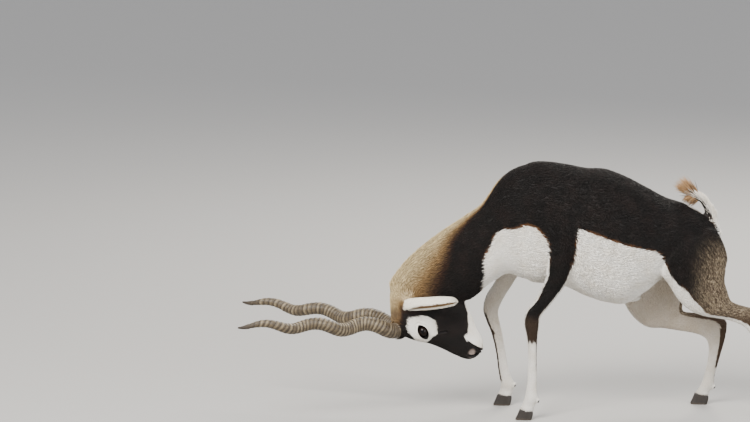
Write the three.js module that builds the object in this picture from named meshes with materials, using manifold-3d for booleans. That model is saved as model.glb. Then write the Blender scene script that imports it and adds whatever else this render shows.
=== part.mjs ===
// A blackbuck, the male antelope of the Indian plains, life size, head down and pushing.
// It faces -X, its left side is toward -Y and +Z is up. All sizes are in millimetres.
import * as THREE from 'three';
import { mergeVertices } from 'three/addons/utils/BufferGeometryUtils.js';
import Module from 'manifold-3d';

const wasm = await Module();
wasm.setup();

// Driving dimensions.
const GAP = 0.3; // kept between parts that touch
const EYE_RADIUS = 18;
const EYE_SIDE = 37; // eye centre from the middle plane
const LID_THICKNESS = 3.2;
const LID_OPENING = [23, 12.5]; // half length and half height of the gap between the lids
const HORN_BASE = 24; // radius at the brow
const HORN_TIP = 2.2;
const HORN_REACH = [-476, -172, 38]; // from base to tip, left horn
const HORN_TURNS = 3.25;
const HORN_SWING = 11; // radius of the spiral at the base
const HORN_RINGS = 34;
const RING_HEIGHT = 1.9;
const HORN_COLLAR = 3; // the hairy rim of the head round each horn
const EAR_WALL = 3.2;
const EAR_TURN = 1.3; // angle of the ear's mouth below level, radians
const MOUTH_DEPTH = 5;
const MOUTH_WIDTH = 2.4;
const LIP_RISE = 1.7;
const HOOF_SPREAD = 1.6; // half gap between the two claws at the top
const HOOF_REACH = 13; // toe in front of the hoof's top edge
const HEEL_TUCK = 6; // heel at the floor ahead of the hoof's top edge
const TUFT_LENGTH = 60;

// How finely each part is divided: sections along it and points round it.
const TRUNK_DETAIL = [22, 22];
const NECK_DETAIL = [15, 20];
const HEAD_DETAIL = [24, 20];
const EYE_DETAIL = [14, 9];

// Each section of flesh is an oval across the body:
// [x, z of its upper or front point, x, z of its lower or rear point,
//  y of its middle, half width, height of the widest level from 0 to 1]
const TRUNK = [
  [-20, 674, -20, 457, 0, 56, 0.5],
  [17, 715, 17, 415, 0, 84, 0.5],
  [61, 737, 61, 389, 0, 99, 0.48],
  [104, 740, 104, 382, 0, 107, 0.46],
  [160, 733, 160, 374, 0, 113, 0.44],
  [218, 722, 218, 348, 0, 119, 0.42],
  [276, 718, 276, 329, 0, 124, 0.42],
  [334, 697, 334, 324, 0, 124, 0.43],
  [392, 667, 392, 357, 0, 117, 0.46],
  [450, 636, 447, 401, 0, 108, 0.5],
  [508, 615, 502, 427, 0, 100, 0.55],
  [566, 581, 551, 439, 0, 84, 0.58],
  [603, 530, 592, 445, 0, 54, 0.6],
  [612, 502, 604, 462, 0, 24, 0.6],
];
const NECK = [
  [96, 738, 102, 386, 0, 103, 0.5],
  [23, 724, 38, 398, 0, 92, 0.5],
  [-30, 687, -6, 410, 0, 83, 0.5],
  [-84, 615, -39, 393, 0, 75, 0.5],
  [-139, 575, -67, 373, 0, 69, 0.5],
  [-200, 534, -90, 351, 0, 65, 0.5],
  [-261, 487, -113, 335, 0, 61, 0.5],
  [-313, 436, -126, 329, 0, 57, 0.55],
  [-348, 377, -136, 324, 0, 55, 0.62],
  [-338, 324, -178, 281, 0, 45, 0.62],
];
const HEAD = [
  [-343, 350, -330, 370, 0, 18, 0.6],
  [-347, 338, -325, 386, 0, 32, 0.6],
  [-341, 272, -283, 406, 0, 46, 0.62],
  [-318, 236, -248, 400, 0, 53, 0.68],
  [-294, 221, -220, 391, 0, 53, 0.74],
  [-266, 212, -193, 380, 0, 51, 0.78],
  [-245, 208, -176, 369, 0, 47.5, 0.78],
  [-223, 201, -157, 354, 0, 42, 0.72],
  [-202, 192, -139, 336, 0, 37.5, 0.66],
  [-183, 183, -125, 318, 0, 34, 0.62],
  [-168, 175, -115, 297, 0, 31.5, 0.6],
  [-152, 168, -105, 277, 0, 29.5, 0.58],
  [-133, 160, -95, 248, 0, 28, 0.56],
  [-112, 158, -82, 226, 0, 25, 0.54],
  [-94, 169, -76, 209, 0, 19, 0.52],
  [-81, 179, -75, 193, 0, 11, 0.5],
];
const FORE_LEFT = [
  [78, 622, 203, 613, -60, 38],
  [91, 550, 197, 544, -73, 36],
  [104, 493, 188, 481, -81, 33],
  [106, 432, 171, 415, -87, 29],
  [91, 392, 145, 371, -90, 25],
  [70, 351, 115, 333, -93, 22],
  [46, 319, 90, 303, -95, 20],
  [39, 284, 84, 275, -97, 19.5],
  [45, 252, 81, 247, -98, 16.5],
  [49, 223, 79, 223, -99, 13.5],
  [52, 173, 78, 173, -101, 12.5],
  [50, 115, 78, 115, -103, 12.5],
  [46, 83, 78, 81, -104, 14],
  [42, 64, 81, 59, -105, 16.5],
  [36, 45, 72, 39, -105, 15],
  [28, 30, 68, 23, -105, 16],
];
const FORE_RIGHT = [
  [-12, 573, 107, 582, 60, 38],
  [-22, 498, 78, 504, 72, 35],
  [-26, 432, 49, 426, 81, 31],
  [-38, 378, 14, 366, 87, 26],
  [-65, 331, -14, 319, 91, 23],
  [-74, 289, -28, 283, 94, 20],
  [-64, 253, -25, 253, 97, 17.5],
  [-49, 215, -16, 215, 99, 14.5],
  [-36, 162, -7, 162, 101, 12.5],
  [-29, 112, 1, 115, 102, 12.5],
  [-24, 82, 10, 85, 103, 14],
  [-20, 63, 20, 64, 104, 16.5],
  [-23, 44, 16, 41, 105, 15],
  [-30, 33, 13, 26, 105, 16],
];
const HIND_LEFT = [
  [396, 596, 552, 568, -42, 26],
  [388, 560, 590, 550, -50, 38],
  [388, 525, 613, 518, -58, 45],
  [406, 473, 628, 473, -65, 44],
  [432, 424, 624, 438, -70, 40],
  [458, 389, 621, 401, -74, 36],
  [484, 348, 629, 372, -77, 33],
  [516, 318, 637, 349, -79, 29],
  [557, 300, 648, 340, -80, 25],
  [597, 293, 664, 334, -81, 22],
  [638, 285, 682, 329, -83, 19.5],
  [673, 270, 703, 325, -85, 18.5],
  [692, 250, 725, 322, -87, 18],
  [702, 227, 742, 296, -88, 17],
  [708, 201, 747, 239, -90, 15],
  [715, 166, 748, 172, -93, 13.5],
  [725, 125, 756, 125, -96, 13],
  [734, 96, 768, 95, -98, 14.5],
  [740, 76, 780, 73, -99, 16.5],
  [738, 54, 776, 48, -100, 15],
  [732, 35, 774, 28, -100, 16],
];
const HIND_RIGHT = [
  [366, 585, 540, 570, 42, 26],
  [346, 535, 580, 548, 50, 38],
  [334, 478, 596, 508, 58, 46],
  [325, 397, 574, 435, 64, 44],
  [334, 322, 542, 372, 68, 40],
  [365, 269, 516, 325, 70, 35],
  [406, 240, 510, 296, 70, 31],
  [450, 236, 516, 287, 69, 26],
  [496, 229, 536, 284, 67, 22],
  [539, 222, 574, 280, 66, 19.5],
  [566, 213, 608, 276, 66, 18.5],
  [581, 199, 639, 258, 68, 18],
  [587, 178, 638, 213, 73, 17],
  [586, 141, 624, 154, 83, 14.5],
  [581, 110, 615, 114, 94, 13],
  [576, 82, 609, 83, 105, 14],
  [568, 58, 608, 56, 113, 16.5],
  [560, 43, 597, 36, 118, 15],
  [552, 32, 594, 23, 121, 16],
];
const TAIL = [
  [542, 565, 618, 522, 0, 15],
  [561, 587, 606, 568, 0, 14],
  [560, 603, 587, 602, 0, 12],
  [550, 620, 568, 629, 0, 10.5],
  [536, 627, 545, 649, 0, 9.5],
  [523, 634, 527, 659, 0, 8],
];
const KNEE = { left: 7, right: 5 }; // section at each knee
const STIFLE = { left: 7, right: 6 };
const HOCK = { left: 12, right: 11 };

// Colours.
const coat = (colour) => new THREE.MeshStandardMaterial({ color: colour, roughness: 0.85, metalness: 0 });
const black = () => coat(0x231c1b);
const white = () => coat(0xe6ded0);
const horn = () => new THREE.MeshStandardMaterial({ color: 0x8b775c, roughness: 0.55, metalness: 0 });
const keratin = () => new THREE.MeshStandardMaterial({ color: 0x2b2622, roughness: 0.4, metalness: 0 });
const wet = () => new THREE.MeshStandardMaterial({ color: 0x0e0a08, roughness: 0.08, metalness: 0 });

const mix = (a, b, t) => a + (b - a) * t;
const vec = (x, y, z) => new THREE.Vector3(x, y, z);

// A smooth row of numbers at place t among the rows.
function between(rows, t) {
  const i = Math.min(Math.max(Math.floor(t), 0), rows.length - 2);
  const f = t - i;
  const at = (k) => rows[Math.min(Math.max(k, 0), rows.length - 1)];
  return rows[0].map((_, c) => {
    const [p, q, r, s] = [at(i - 1)[c], at(i)[c], at(i + 1)[c], at(i + 2)[c]];
    const slope = (r - p) / 2;
    const next = (s - q) / 2;
    const f2 = f * f;
    const f3 = f2 * f;
    return (2 * f3 - 3 * f2 + 1) * q + (f3 - 2 * f2 + f) * slope + (3 * f2 - 2 * f3) * r + (f3 - f2) * next;
  });
}

// The oval of one section, grown on all sides by `grow`.
function oval([ax, az, bx, bz, y, w, level = 0.5], sides, grow, square) {
  const length = Math.hypot(ax - bx, az - bz);
  const points = [];
  for (let i = 0; i < sides; i++) {
    const angle = ((i + 0.5) / sides) * 2 * Math.PI;
    const rise = Math.sign(Math.sin(angle)) * Math.abs(Math.sin(angle)) ** square;
    const side = Math.sign(Math.cos(angle)) * Math.abs(Math.cos(angle)) ** square;
    const height = level + (rise > 0 ? (1 - level) * rise : level * rise) + (grow / length) * rise;
    points.push(vec(mix(bx, ax, height), y + side * (w + grow), mix(bz, az, height)));
  }
  return points;
}

// A closed solid from a stack of loops, each end closed by a fan.
function stack(loops) {
  const sides = loops[0].length;
  const points = loops.flat();
  const faces = [];
  for (let k = 0; k + 1 < loops.length; k++) {
    for (let i = 0; i < sides; i++) {
      const j = (i + 1) % sides;
      const [a, b, c, d] = [k * sides + i, k * sides + j, (k + 1) * sides + j, (k + 1) * sides + i];
      faces.push([a, b, c], [a, c, d]);
    }
  }
  const close = (start, turn) => {
    const middle = points.slice(start, start + sides).reduce((sum, p) => sum.add(p), vec(0, 0, 0));
    points.push(middle.divideScalar(sides));
    for (let i = 0; i < sides; i++) {
      const edge = [start + i, start + ((i + 1) % sides)];
      faces.push([points.length - 1, ...(turn ? edge : edge.reverse())]);
    }
  };
  close(0, false);
  close((loops.length - 1) * sides, true);
  return solid(points, faces);
}

// A solid from points and faces, turned so that its faces point out.
function solid(points, faces) {
  let volume = 0;
  for (const [a, b, c] of faces) {
    volume += points[a].dot(vec(0, 0, 0).crossVectors(points[b], points[c]));
  }
  const turned = volume < 0 ? faces.map(([a, b, c]) => [a, c, b]) : faces;
  return new wasm.Manifold(new wasm.Mesh({
    numProp: 3,
    vertProperties: new Float32Array(points.flatMap((p) => [p.x, p.y, p.z])),
    triVerts: new Uint32Array(turned.flat()),
  }));
}

// A three.js geometry as a solid.
function solidOf(geometry) {
  const plain = geometry.clone();
  plain.deleteAttribute('normal');
  plain.deleteAttribute('uv');
  const merged = mergeVertices(plain, 1e-4);
  const place = merged.attributes.position;
  const points = [];
  for (let i = 0; i < place.count; i++) {
    points.push(vec(place.getX(i), place.getY(i), place.getZ(i)));
  }
  const faces = [];
  for (let i = 0; i < merged.index.count; i += 3) {
    const face = [merged.index.getX(i), merged.index.getX(i + 1), merged.index.getX(i + 2)];
    if (new Set(face).size === 3) faces.push(face);
  }
  return solid(points, faces);
}

// The largest closed surface of a solid.
function largest(body) {
  return body.decompose().sort((a, b) => b.volume() - a.volume())[0];
}

// Flesh between places `from` and `to` among the sections.
function flesh(rows, from, to, steps, sides, grow = 0, square = 1) {
  const loops = [];
  for (let k = 0; k <= steps; k++) {
    loops.push(oval(between(rows, mix(from, to, k / steps)), sides, grow, square));
  }
  if (grow !== 0) {
    const push = (loop, other) => {
      const way = loop[0].clone().sub(other[0]).normalize().multiplyScalar(grow);
      loop.forEach((p) => p.add(way));
    };
    push(loops[0], loops[1]);
    push(loops[steps], loops[steps - 1]);
  }
  return stack(loops);
}

// A ball with a radius along each axis, turned in the middle plane.
function egg([x, y, z], [rx, ry, rz], turn = 0, detail = [14, 10]) {
  const ball = new THREE.SphereGeometry(1, detail[0], detail[1]);
  ball.scale(rx, ry, rz);
  ball.rotateY(turn);
  ball.translate(x, y, z);
  return solidOf(ball);
}

// A slab on one side of the plane through two points of the middle plane.
function beyond([x1, z1], [x2, z2], shift) {
  const along = vec(x2 - x1, 0, z2 - z1).normalize();
  const out = vec(along.z, 0, -along.x);
  const reach = 900;
  const slab = new THREE.BoxGeometry(2 * reach, 2 * reach, 2 * reach);
  const turn = new THREE.Matrix4().makeBasis(along, vec(0, 1, 0), out.clone().negate());
  turn.setPosition(vec(x1, 0, z1).addScaledVector(out, reach + shift));
  slab.applyMatrix4(turn);
  return solidOf(slab);
}

// The head's own frame: u runs to the nose, v to the face, from between the horns and the eyes.
const HEAD_ORIGIN = [-304.5, 268.6];
const HEAD_U = [0.9145, -0.4045];
const HEAD_V = [-0.4045, -0.9145];
const HEAD_TURN = Math.atan2(-HEAD_U[1], HEAD_U[0]);
function onHead(u, v, y) {
  const x = HEAD_ORIGIN[0] + HEAD_U[0] * u + HEAD_V[0] * v;
  const z = HEAD_ORIGIN[1] + HEAD_U[1] * u + HEAD_V[1] * v;
  return vec(x, y, z);
}

// A prism across the head, from a closed outline in the head's frame.
function headPrism(outline, y1, y2) {
  return stack([outline.map(([u, v]) => onHead(u, v, y1)), outline.map(([u, v]) => onHead(u, v, y2))]);
}

// The line of the mouth, from its corner to the front of the lips.
function mouthBand(half) {
  const line = [[178, -27.5], [196, -24.5], [214, -20], [230, -15.5], [262, -7]];
  const out = line.map(([u, v]) => [u, v + half]);
  const back = line.map(([u, v]) => [u, v - half]).reverse();
  return headPrism([[line[0][0] - half, line[0][1]], ...out, ...back], -60, 60);
}

const EYE_AT = [57.5, -2]; // in the head's frame
const LID_SLANT = [0.83, 0.557]; // the lids' long axis in the head's frame

function lidOpening(side) {
  const outline = [];
  const count = 7;
  for (const half of [1, -1]) {
    for (let i = 0; i < count; i++) {
      const s = half * mix(-1, 1, i / count);
      const a = s * LID_OPENING[0];
      const b = half * LID_OPENING[1] * (1 - s * s) ** 0.75;
      const u = EYE_AT[0] + a * LID_SLANT[0] - b * LID_SLANT[1];
      outline.push([u, EYE_AT[1] + a * LID_SLANT[1] + b * LID_SLANT[0]]);
    }
  }
  return headPrism(outline, side * (EYE_SIDE + 2), side * (EYE_SIDE + 60));
}

// The body whole, before it is parted.
const trunk = flesh(TRUNK, 0, TRUNK.length - 1, ...TRUNK_DETAIL, 0, 0.95)
  .add(egg([340, 0, 341], [42, 12, 15], 0.1, [10, 8]))
  .add(egg([512, 0, 412], [17, 19, 26], 0, [10, 8]));
const neck = flesh(NECK, 0, NECK.length - 1, ...NECK_DETAIL);
const skull = flesh(HEAD, 0, HEAD.length - 1, ...HEAD_DETAIL, 0, 0.92);
const skullGrown = flesh(HEAD, 0, HEAD.length - 1, ...HEAD_DETAIL, GAP, 0.92);
const neckGrown = flesh(NECK, 0, NECK.length - 1, ...NECK_DETAIL, GAP);
const trunkGrown = flesh(TRUNK, 0, TRUNK.length - 1, ...TRUNK_DETAIL, GAP, 0.95);

// Head: eyeballs in their sockets behind two lids, lips, nostrils and the gland before each eye.
let head = skull;
for (const side of [-1, 1]) {
  const centre = onHead(EYE_AT[0], EYE_AT[1], side * EYE_SIDE).toArray();
  const lid = EYE_RADIUS + LID_THICKNESS;
  head = head.add(egg(centre, [lid + 6, lid, lid + 2], HEAD_TURN + 0.5));
  head = head.add(egg(onHead(224, 3, side * 15).toArray(), [11, 6.5, 7], HEAD_TURN - 0.5, [10, 8]));
}
head = head.add(collar(-1)).add(collar(1));
const lips = flesh(HEAD, 0, HEAD.length - 1, ...HEAD_DETAIL, LIP_RISE, 0.92).intersect(mouthBand(6));
head = head.add(lips).add(neck);
for (const side of [-1, 1]) {
  const centre = onHead(EYE_AT[0], EYE_AT[1], side * EYE_SIDE).toArray();
  const ball = EYE_RADIUS + GAP;
  head = head.subtract(egg(centre, [ball, ball, ball], 0, EYE_DETAIL)).subtract(lidOpening(side));
  head = head.subtract(egg(onHead(222, 6, side * 20).toArray(), [7, 6, 2.8], HEAD_TURN - 0.6, [10, 8]));
  head = head.subtract(egg(onHead(112, -23, side * 42).toArray(), [9, 6, 1.8], HEAD_TURN + 0.5, [8, 6]));
}
const gums = flesh(HEAD, 0, HEAD.length - 1, ...HEAD_DETAIL, -MOUTH_DEPTH, 0.92);
head = head.subtract(mouthBand(MOUTH_WIDTH / 2).subtract(gums));
const whole = trunk.add(head);

// The body is parted in front of the shoulder and behind the jaw.
const SHOULDER_CUT = [[10, 760], [22, 380]];
const THROAT_CUT = [[-356, 352], [-130, 322]];
const front = beyond(SHOULDER_CUT[0], SHOULDER_CUT[1], 0);
const frontGap = beyond(SHOULDER_CUT[0], SHOULDER_CUT[1], -GAP);
const face = beyond(THROAT_CUT[0], THROAT_CUT[1], 0);
const faceGap = beyond(THROAT_CUT[0], THROAT_CUT[1], -GAP);

// Legs: each is parted at the knee, or at the stifle and the hock.
const JOINT = 0.012; // gap at a leg's joint, in sections
const dewclaw = (x, y, z) => egg([x, y, z], [5, 4.5, 8], 0.4, [6, 6]);

function leg(rows, cuts, sides) {
  const places = [0, ...cuts, rows.length - 1];
  const pieces = [];
  for (let k = 0; k + 1 < places.length; k++) {
    const from = places[k] + (k ? JOINT : 0);
    const to = places[k + 1];
    pieces.push(flesh(rows, from, to, Math.round((to - from) * 2), sides));
  }
  const [, , bx, bz, y] = between(rows, rows.length - 3);
  const last = pieces.length - 1;
  pieces[last] = pieces[last].add(dewclaw(bx + 1, y - 8, bz - 4)).add(dewclaw(bx + 1, y + 8, bz - 4));
  return { pieces, grown: flesh(rows, 0, rows.length - 1, 2 * (rows.length - 1), sides, GAP) };
}

const legs = {
  foreleg_left: leg(FORE_LEFT, [KNEE.left], 10),
  foreleg_right: leg(FORE_RIGHT, [KNEE.right], 10),
  hindleg_left: leg(HIND_LEFT, [STIFLE.left, HOCK.left], 12),
  hindleg_right: leg(HIND_RIGHT, [STIFLE.right, HOCK.right], 12),
};

// One claw of a hoof, from just under the leg's last section down to the floor. Its inner wall
// is nearly straight and its outer wall curves in to a narrow toe; the heel is low and round.
const CLAW_PLACES = [0, 0.25, 0.55, 0.82, 0.95, 1];

function claw(rows, side) {
  const [ax, az, bx, bz, y, w] = rows[rows.length - 1];
  const loops = [];
  for (const t of CLAW_PLACES) {
    const edge = Math.max(t - 0.95, 0) * 24; // the worn edge of the sole, 1.2 mm at the floor
    const toe = mix(ax + 0.5, ax - HOOF_REACH, t) + edge;
    const heel = mix(bx - 0.5, bx - HEEL_TUCK, t * t) - edge;
    const width = (w - 0.4 - HOOF_SPREAD) / 2 + 1.3 * t - edge;
    const loop = [];
    for (let i = 0; i < 14; i++) {
      const angle = ((i + 0.5) / 14) * 2 * Math.PI;
      const f = 0.5 + 0.5 * Math.cos(angle); // 1 at the toe
      const half = width * (1 - (0.3 + 0.3 * t) * f * f);
      const across = side * (HOOF_SPREAD + half + edge + 0.3 * (width - half) + 1.5 * t * f);
      const x = mix(heel, toe, f);
      const top = mix(bz, az, (x - bx) / (ax - bx)) - GAP - 0.2;
      const lean = Math.sign(Math.sin(angle)) * Math.abs(Math.sin(angle)) ** 0.8;
      loop.push(vec(x, y + across + lean * half, top * (1 - t)));
    }
    loops.push(loop);
  }
  return stack(loops);
}

// A horn's line: a spiral round a straight line, tightening toward the tip.
function hornLine(side) {
  const base = onHead(2, 12, side * 34);
  const axis = vec(HORN_REACH[0], -side * HORN_REACH[1], HORN_REACH[2]);
  const along = axis.clone().normalize();
  const across = vec(0, 0, 1).addScaledVector(along, -along.z).normalize();
  const out = vec(0, 0, 0).crossVectors(along, across).multiplyScalar(side);
  const at = (t) => {
    const turn = 2 * Math.PI * (0.3 + HORN_TURNS * t);
    const swing = HORN_SWING * mix(1, 0.55, t);
    const p = base.clone().addScaledVector(axis, t).addScaledVector(across, swing * Math.cos(turn));
    return p.addScaledVector(out, -swing * Math.sin(turn));
  };
  return (t, radius) => {
    const c = at(t);
    const way = at(t + 0.01).sub(at(t - 0.01)).normalize();
    const up = across.clone().addScaledVector(way, -across.dot(way)).normalize();
    const left = vec(0, 0, 0).crossVectors(way, up);
    const loop = [];
    for (let i = 0; i < 10; i++) {
      const angle = (i / 10) * 2 * Math.PI;
      const p = c.clone().addScaledVector(up, radius * Math.cos(angle));
      loop.push(p.addScaledVector(left, radius * Math.sin(angle)));
    }
    return loop;
  };
}

// A horn, ringed to near its tip.
function hornSolid(side) {
  const ring = hornLine(side);
  const stations = [-0.06];
  for (let k = 0; k < HORN_RINGS; k++) {
    const t = ((k + 0.2) / HORN_RINGS) ** 1.12 * 0.93;
    const next = ((k + 1.2) / HORN_RINGS) ** 1.12 * 0.93;
    stations.push(t, mix(t, next, 0.5));
  }
  stations.push(0.965, 0.99, 1);
  return stack(stations.map((t, k) => {
    const s = Math.max(t, 0);
    const ringed = t > 0 && t < 0.93;
    const radius = HORN_BASE * (1 - 0.34 * s - 0.5 * s ** 5 - 0.07 * s ** 20);
    const groove = ringed && k % 2 === 0 ? RING_HEIGHT * mix(1, 0.55, s) : 0;
    return ring(t, Math.max(t === 1 ? HORN_TIP * 0.5 : HORN_TIP, radius - groove));
  }));
}

// The rim of the head that each horn rises from.
function collar(side, grow = 0) {
  const ring = hornLine(side);
  const radius = HORN_BASE + HORN_COLLAR + grow;
  return stack([ring(-0.08, radius), ring(0.012, radius), ring(0.034 + grow / 500, radius - 2.4)]);
}

// An ear: a leaf folded into a cup that opens down and a little outward, its wall beside the head the longer.
// [place along it, half width, half height, turn of the outer wall, turn of the wall beside the head]
const EAR = [
  [-0.06, 10, 12, 2.95, 2.95],
  [0.06, 12, 15, 2.8, 2.9],
  [0.2, 13.5, 18.3, 2.3, 2.75],
  [0.4, 14, 19.5, 1.9, 2.6],
  [0.6, 13.5, 19.5, 1.8, 2.5],
  [0.78, 12, 18, 1.7, 2.4],
  [0.92, 9, 14, 1.55, 2.2],
  [1, 4, 6.5, 1.3, 1.8],
];
const EAR_LINE = [[-312, 36, 323], [-280, 63, 330.5], [-240, 78, 335], [-198, 88, 340], [-155, 94, 344]];

function earSolid(side, grow = 0) {
  const line = new THREE.CatmullRomCurve3(EAR_LINE.map(([x, y, z]) => vec(x, side * y, z)));
  const loops = [];
  const steps = 11;
  for (let k = 0; k <= steps; k++) {
    const [t, half, rise, outer, far] = between(EAR, mix(0, EAR.length - 1, k / steps));
    const place = Math.min(Math.max(t, 0), 1);
    const along = line.getTangent(place);
    const c = line.getPoint(place).addScaledVector(along, (t - place) * 150);
    const open = vec(0, side * Math.cos(EAR_TURN), -Math.sin(EAR_TURN));
    open.addScaledVector(along, -open.dot(along)).normalize();
    const across = vec(0, 0, 0).crossVectors(along, open).multiplyScalar(-side);
    const wall = Math.min(EAR_WALL, half * 0.5);
    const loop = [];
    for (const [inner, turn] of [[0, 1], [1, -1]]) {
      for (let i = 0; i < 9; i++) {
        const angle = mix(turn > 0 ? -outer : far, turn > 0 ? far : -outer, i / 8);
        const h = half + grow - inner * (wall + 2 * grow);
        const d = rise + grow - inner * (wall + 2 * grow);
        const p = c.clone().addScaledVector(across, h * Math.sin(angle));
        loop.push(p.addScaledVector(open, -d * Math.cos(angle)));
      }
    }
    loops.push(loop);
  }
  return stack(loops);
}

// A flat, tapered lock of hair from a root, bending from one way to another.
// `flat` is the way across its thin side.
function lock(root, way, bend, flat, length, width, thick) {
  const side = vec(0, 0, 0).crossVectors(flat, way).normalize();
  const thin = vec(0, 0, 0).crossVectors(way, side).normalize();
  const loops = [];
  const steps = 4;
  for (let k = 0; k <= steps; k++) {
    const t = k / steps;
    const c = root.clone().addScaledVector(way, length * t).addScaledVector(bend, length * t * t);
    const w = width * (0.7 + 1.1 * t - 1.65 * t * t);
    const h = thick * (1 - 0.8 * t);
    loops.push([
      c.clone().addScaledVector(side, w),
      c.clone().addScaledVector(thin, h),
      c.clone().addScaledVector(side, -w),
      c.clone().addScaledVector(thin, -h),
    ]);
  }
  return stack(loops);
}

// Tail: a short core carried up over the rump, its end a fan of locks, its outer edge fringed.
function tailSolid() {
  let tail = flesh(TAIL, 0, TAIL.length - 1, 12, 12);
  const count = 12;
  for (let k = 0; k < count; k++) {
    const t = k / (count - 1);
    const angle = mix(2.2, 4.15, t);
    const fan = 0.24 * Math.sin(k * 2.4 + 0.6);
    const way = vec(Math.cos(angle), fan, Math.sin(angle)).normalize();
    const root = vec(mix(534, 529, t), 6 * Math.sin(k * 2.4 + 0.6), mix(646, 638, t));
    const bend = vec(mix(0.05, 0.06, t), fan * 0.3, mix(-0.1, -0.22, t));
    const length = TUFT_LENGTH * mix(1.1, 0.68, t ** 1.5) * (1 + 0.06 * Math.sin(k * 1.7));
    tail = tail.add(lock(root, way, bend, vec(0.1, 1, fan), length, 11, 5));
  }
  for (let k = 0; k < 8; k++) {
    const place = 0.9 + (k % 4) * 0.95;
    const [ax, az, bx, bz, , w] = between(TAIL, place);
    const [cx, cz, dx, dz] = between(TAIL, place + 0.4);
    const side = k < 4 ? -1 : 1;
    const root = vec(mix(bx, ax, 0.35), side * w * 0.45, mix(bz, az, 0.35));
    const way = vec(cx + dx - ax - bx, 0, cz + dz - az - bz).normalize();
    way.add(vec(0.12, side * 0.2, 0.1)).normalize();
    tail = tail.add(lock(root, way, vec(-0.1, 0, 0), vec(0, 1, 0), 34, 8, 4.5));
  }
  return tail;
}

// The group of named parts, moved so that the middle of its footprint is the origin.
const group = new THREE.Group();
const parts = [];

function keep(name, body, material) {
  const mesh = largest(body).getMesh();
  const geometry = new THREE.BufferGeometry();
  const count = mesh.vertProperties.length / mesh.numProp;
  const place = new Float32Array(count * 3);
  for (let i = 0; i < count; i++) {
    for (let c = 0; c < 3; c++) place[i * 3 + c] = mesh.vertProperties[i * mesh.numProp + c];
  }
  geometry.setAttribute('position', new THREE.BufferAttribute(place, 3));
  geometry.setIndex(new THREE.BufferAttribute(new Uint32Array(mesh.triVerts), 1));
  const part = new THREE.Mesh(geometry, material);
  part.name = name;
  parts.push(part);
}

let torso = whole.subtract(frontGap);
let neckPart = whole.intersect(front).subtract(faceGap);
let headPart = whole.intersect(face);
for (const { grown } of Object.values(legs)) {
  torso = torso.subtract(grown);
  neckPart = neckPart.subtract(grown);
}
const tail = tailSolid().subtract(trunkGrown);
keep('torso', torso, black());
keep('neck', neckPart, black());
for (const [side, word] of [[-1, 'left'], [1, 'right']]) {
  const centre = onHead(EYE_AT[0], EYE_AT[1], side * EYE_SIDE).toArray();
  keep(`eye_${word}`, egg(centre, [EYE_RADIUS, EYE_RADIUS, EYE_RADIUS], 0, EYE_DETAIL), wet());
  keep(`ear_${word}`, earSolid(side).subtract(skullGrown).subtract(neckGrown), white());
  const bareHorn = hornSolid(side).subtract(skullGrown).subtract(neckGrown);
  keep(`horn_${word}`, bareHorn.subtract(collar(side, GAP)), horn());
}
keep('head', headPart, black());
keep('tail', tail, black());

const PIECES = { 2: ['upper', 'lower'], 3: ['thigh', 'shank', 'lower'] };
for (const [name, { pieces }] of Object.entries(legs)) {
  pieces.forEach((piece, k) => {
    keep(`${name}_${PIECES[pieces.length][k]}`, piece, k ? white() : black());
  });
}
const FEET = {
  foreleg_left: FORE_LEFT,
  foreleg_right: FORE_RIGHT,
  hindleg_left: HIND_LEFT,
  hindleg_right: HIND_RIGHT,
};
for (const [name, rows] of Object.entries(FEET)) {
  keep(`${name}_hoof_a`, claw(rows, -1), keratin());
  keep(`${name}_hoof_b`, claw(rows, 1), keratin());
}

const box = new THREE.Box3();
parts.forEach((part) => box.expandByObject(part));
const middle = box.getCenter(vec(0, 0, 0));
group.position.set(-middle.x, -middle.y, -box.min.z);
parts.forEach((part) => group.add(part));

export default group;
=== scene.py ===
import math

import bmesh
import bpy
import numpy as np
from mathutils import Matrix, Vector
from mathutils.kdtree import KDTree


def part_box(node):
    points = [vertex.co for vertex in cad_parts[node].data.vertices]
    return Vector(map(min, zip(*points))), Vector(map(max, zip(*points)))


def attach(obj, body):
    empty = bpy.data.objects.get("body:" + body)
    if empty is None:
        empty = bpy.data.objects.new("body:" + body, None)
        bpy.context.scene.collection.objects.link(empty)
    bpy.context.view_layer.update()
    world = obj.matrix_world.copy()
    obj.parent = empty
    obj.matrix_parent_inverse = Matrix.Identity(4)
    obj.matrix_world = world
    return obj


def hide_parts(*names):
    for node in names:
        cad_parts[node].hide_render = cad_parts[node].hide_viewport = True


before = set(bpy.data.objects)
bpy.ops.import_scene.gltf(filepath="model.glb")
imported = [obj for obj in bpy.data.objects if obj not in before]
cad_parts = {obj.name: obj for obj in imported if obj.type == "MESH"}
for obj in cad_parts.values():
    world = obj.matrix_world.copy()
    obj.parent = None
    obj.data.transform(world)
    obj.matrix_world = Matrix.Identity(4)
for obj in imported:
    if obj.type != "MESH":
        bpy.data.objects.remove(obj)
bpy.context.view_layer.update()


# The body: one skin drawn over the flesh of trunk, neck, head, legs and tail, with no seam. The flesh is
# laid down as oval sections, fused, and smoothed where one form runs into the next. A section is, in mm:
# [x, z of its upper or front point, x, z of its lower or rear point, y, half width, share where it is widest].
TRUNK = np.array([
    [-20, 674, -20, 457, 0, 56, 0.5], [17, 715, 17, 415, 0, 84, 0.5], [61, 737, 61, 389, 0, 99, 0.48],
    [104, 740, 104, 382, 0, 107, 0.46], [160, 733, 160, 374, 0, 113, 0.44],
    [218, 722, 218, 348, 0, 119, 0.42], [276, 718, 276, 329, 0, 124, 0.42],
    [334, 697, 334, 324, 0, 124, 0.43], [392, 667, 392, 357, 0, 117, 0.46],
    [450, 636, 447, 401, 0, 108, 0.5], [508, 615, 502, 427, 0, 100, 0.55],
    [566, 581, 551, 439, 0, 84, 0.58], [603, 530, 592, 445, 0, 54, 0.6], [612, 502, 604, 462, 0, 24, 0.6],
])
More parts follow.
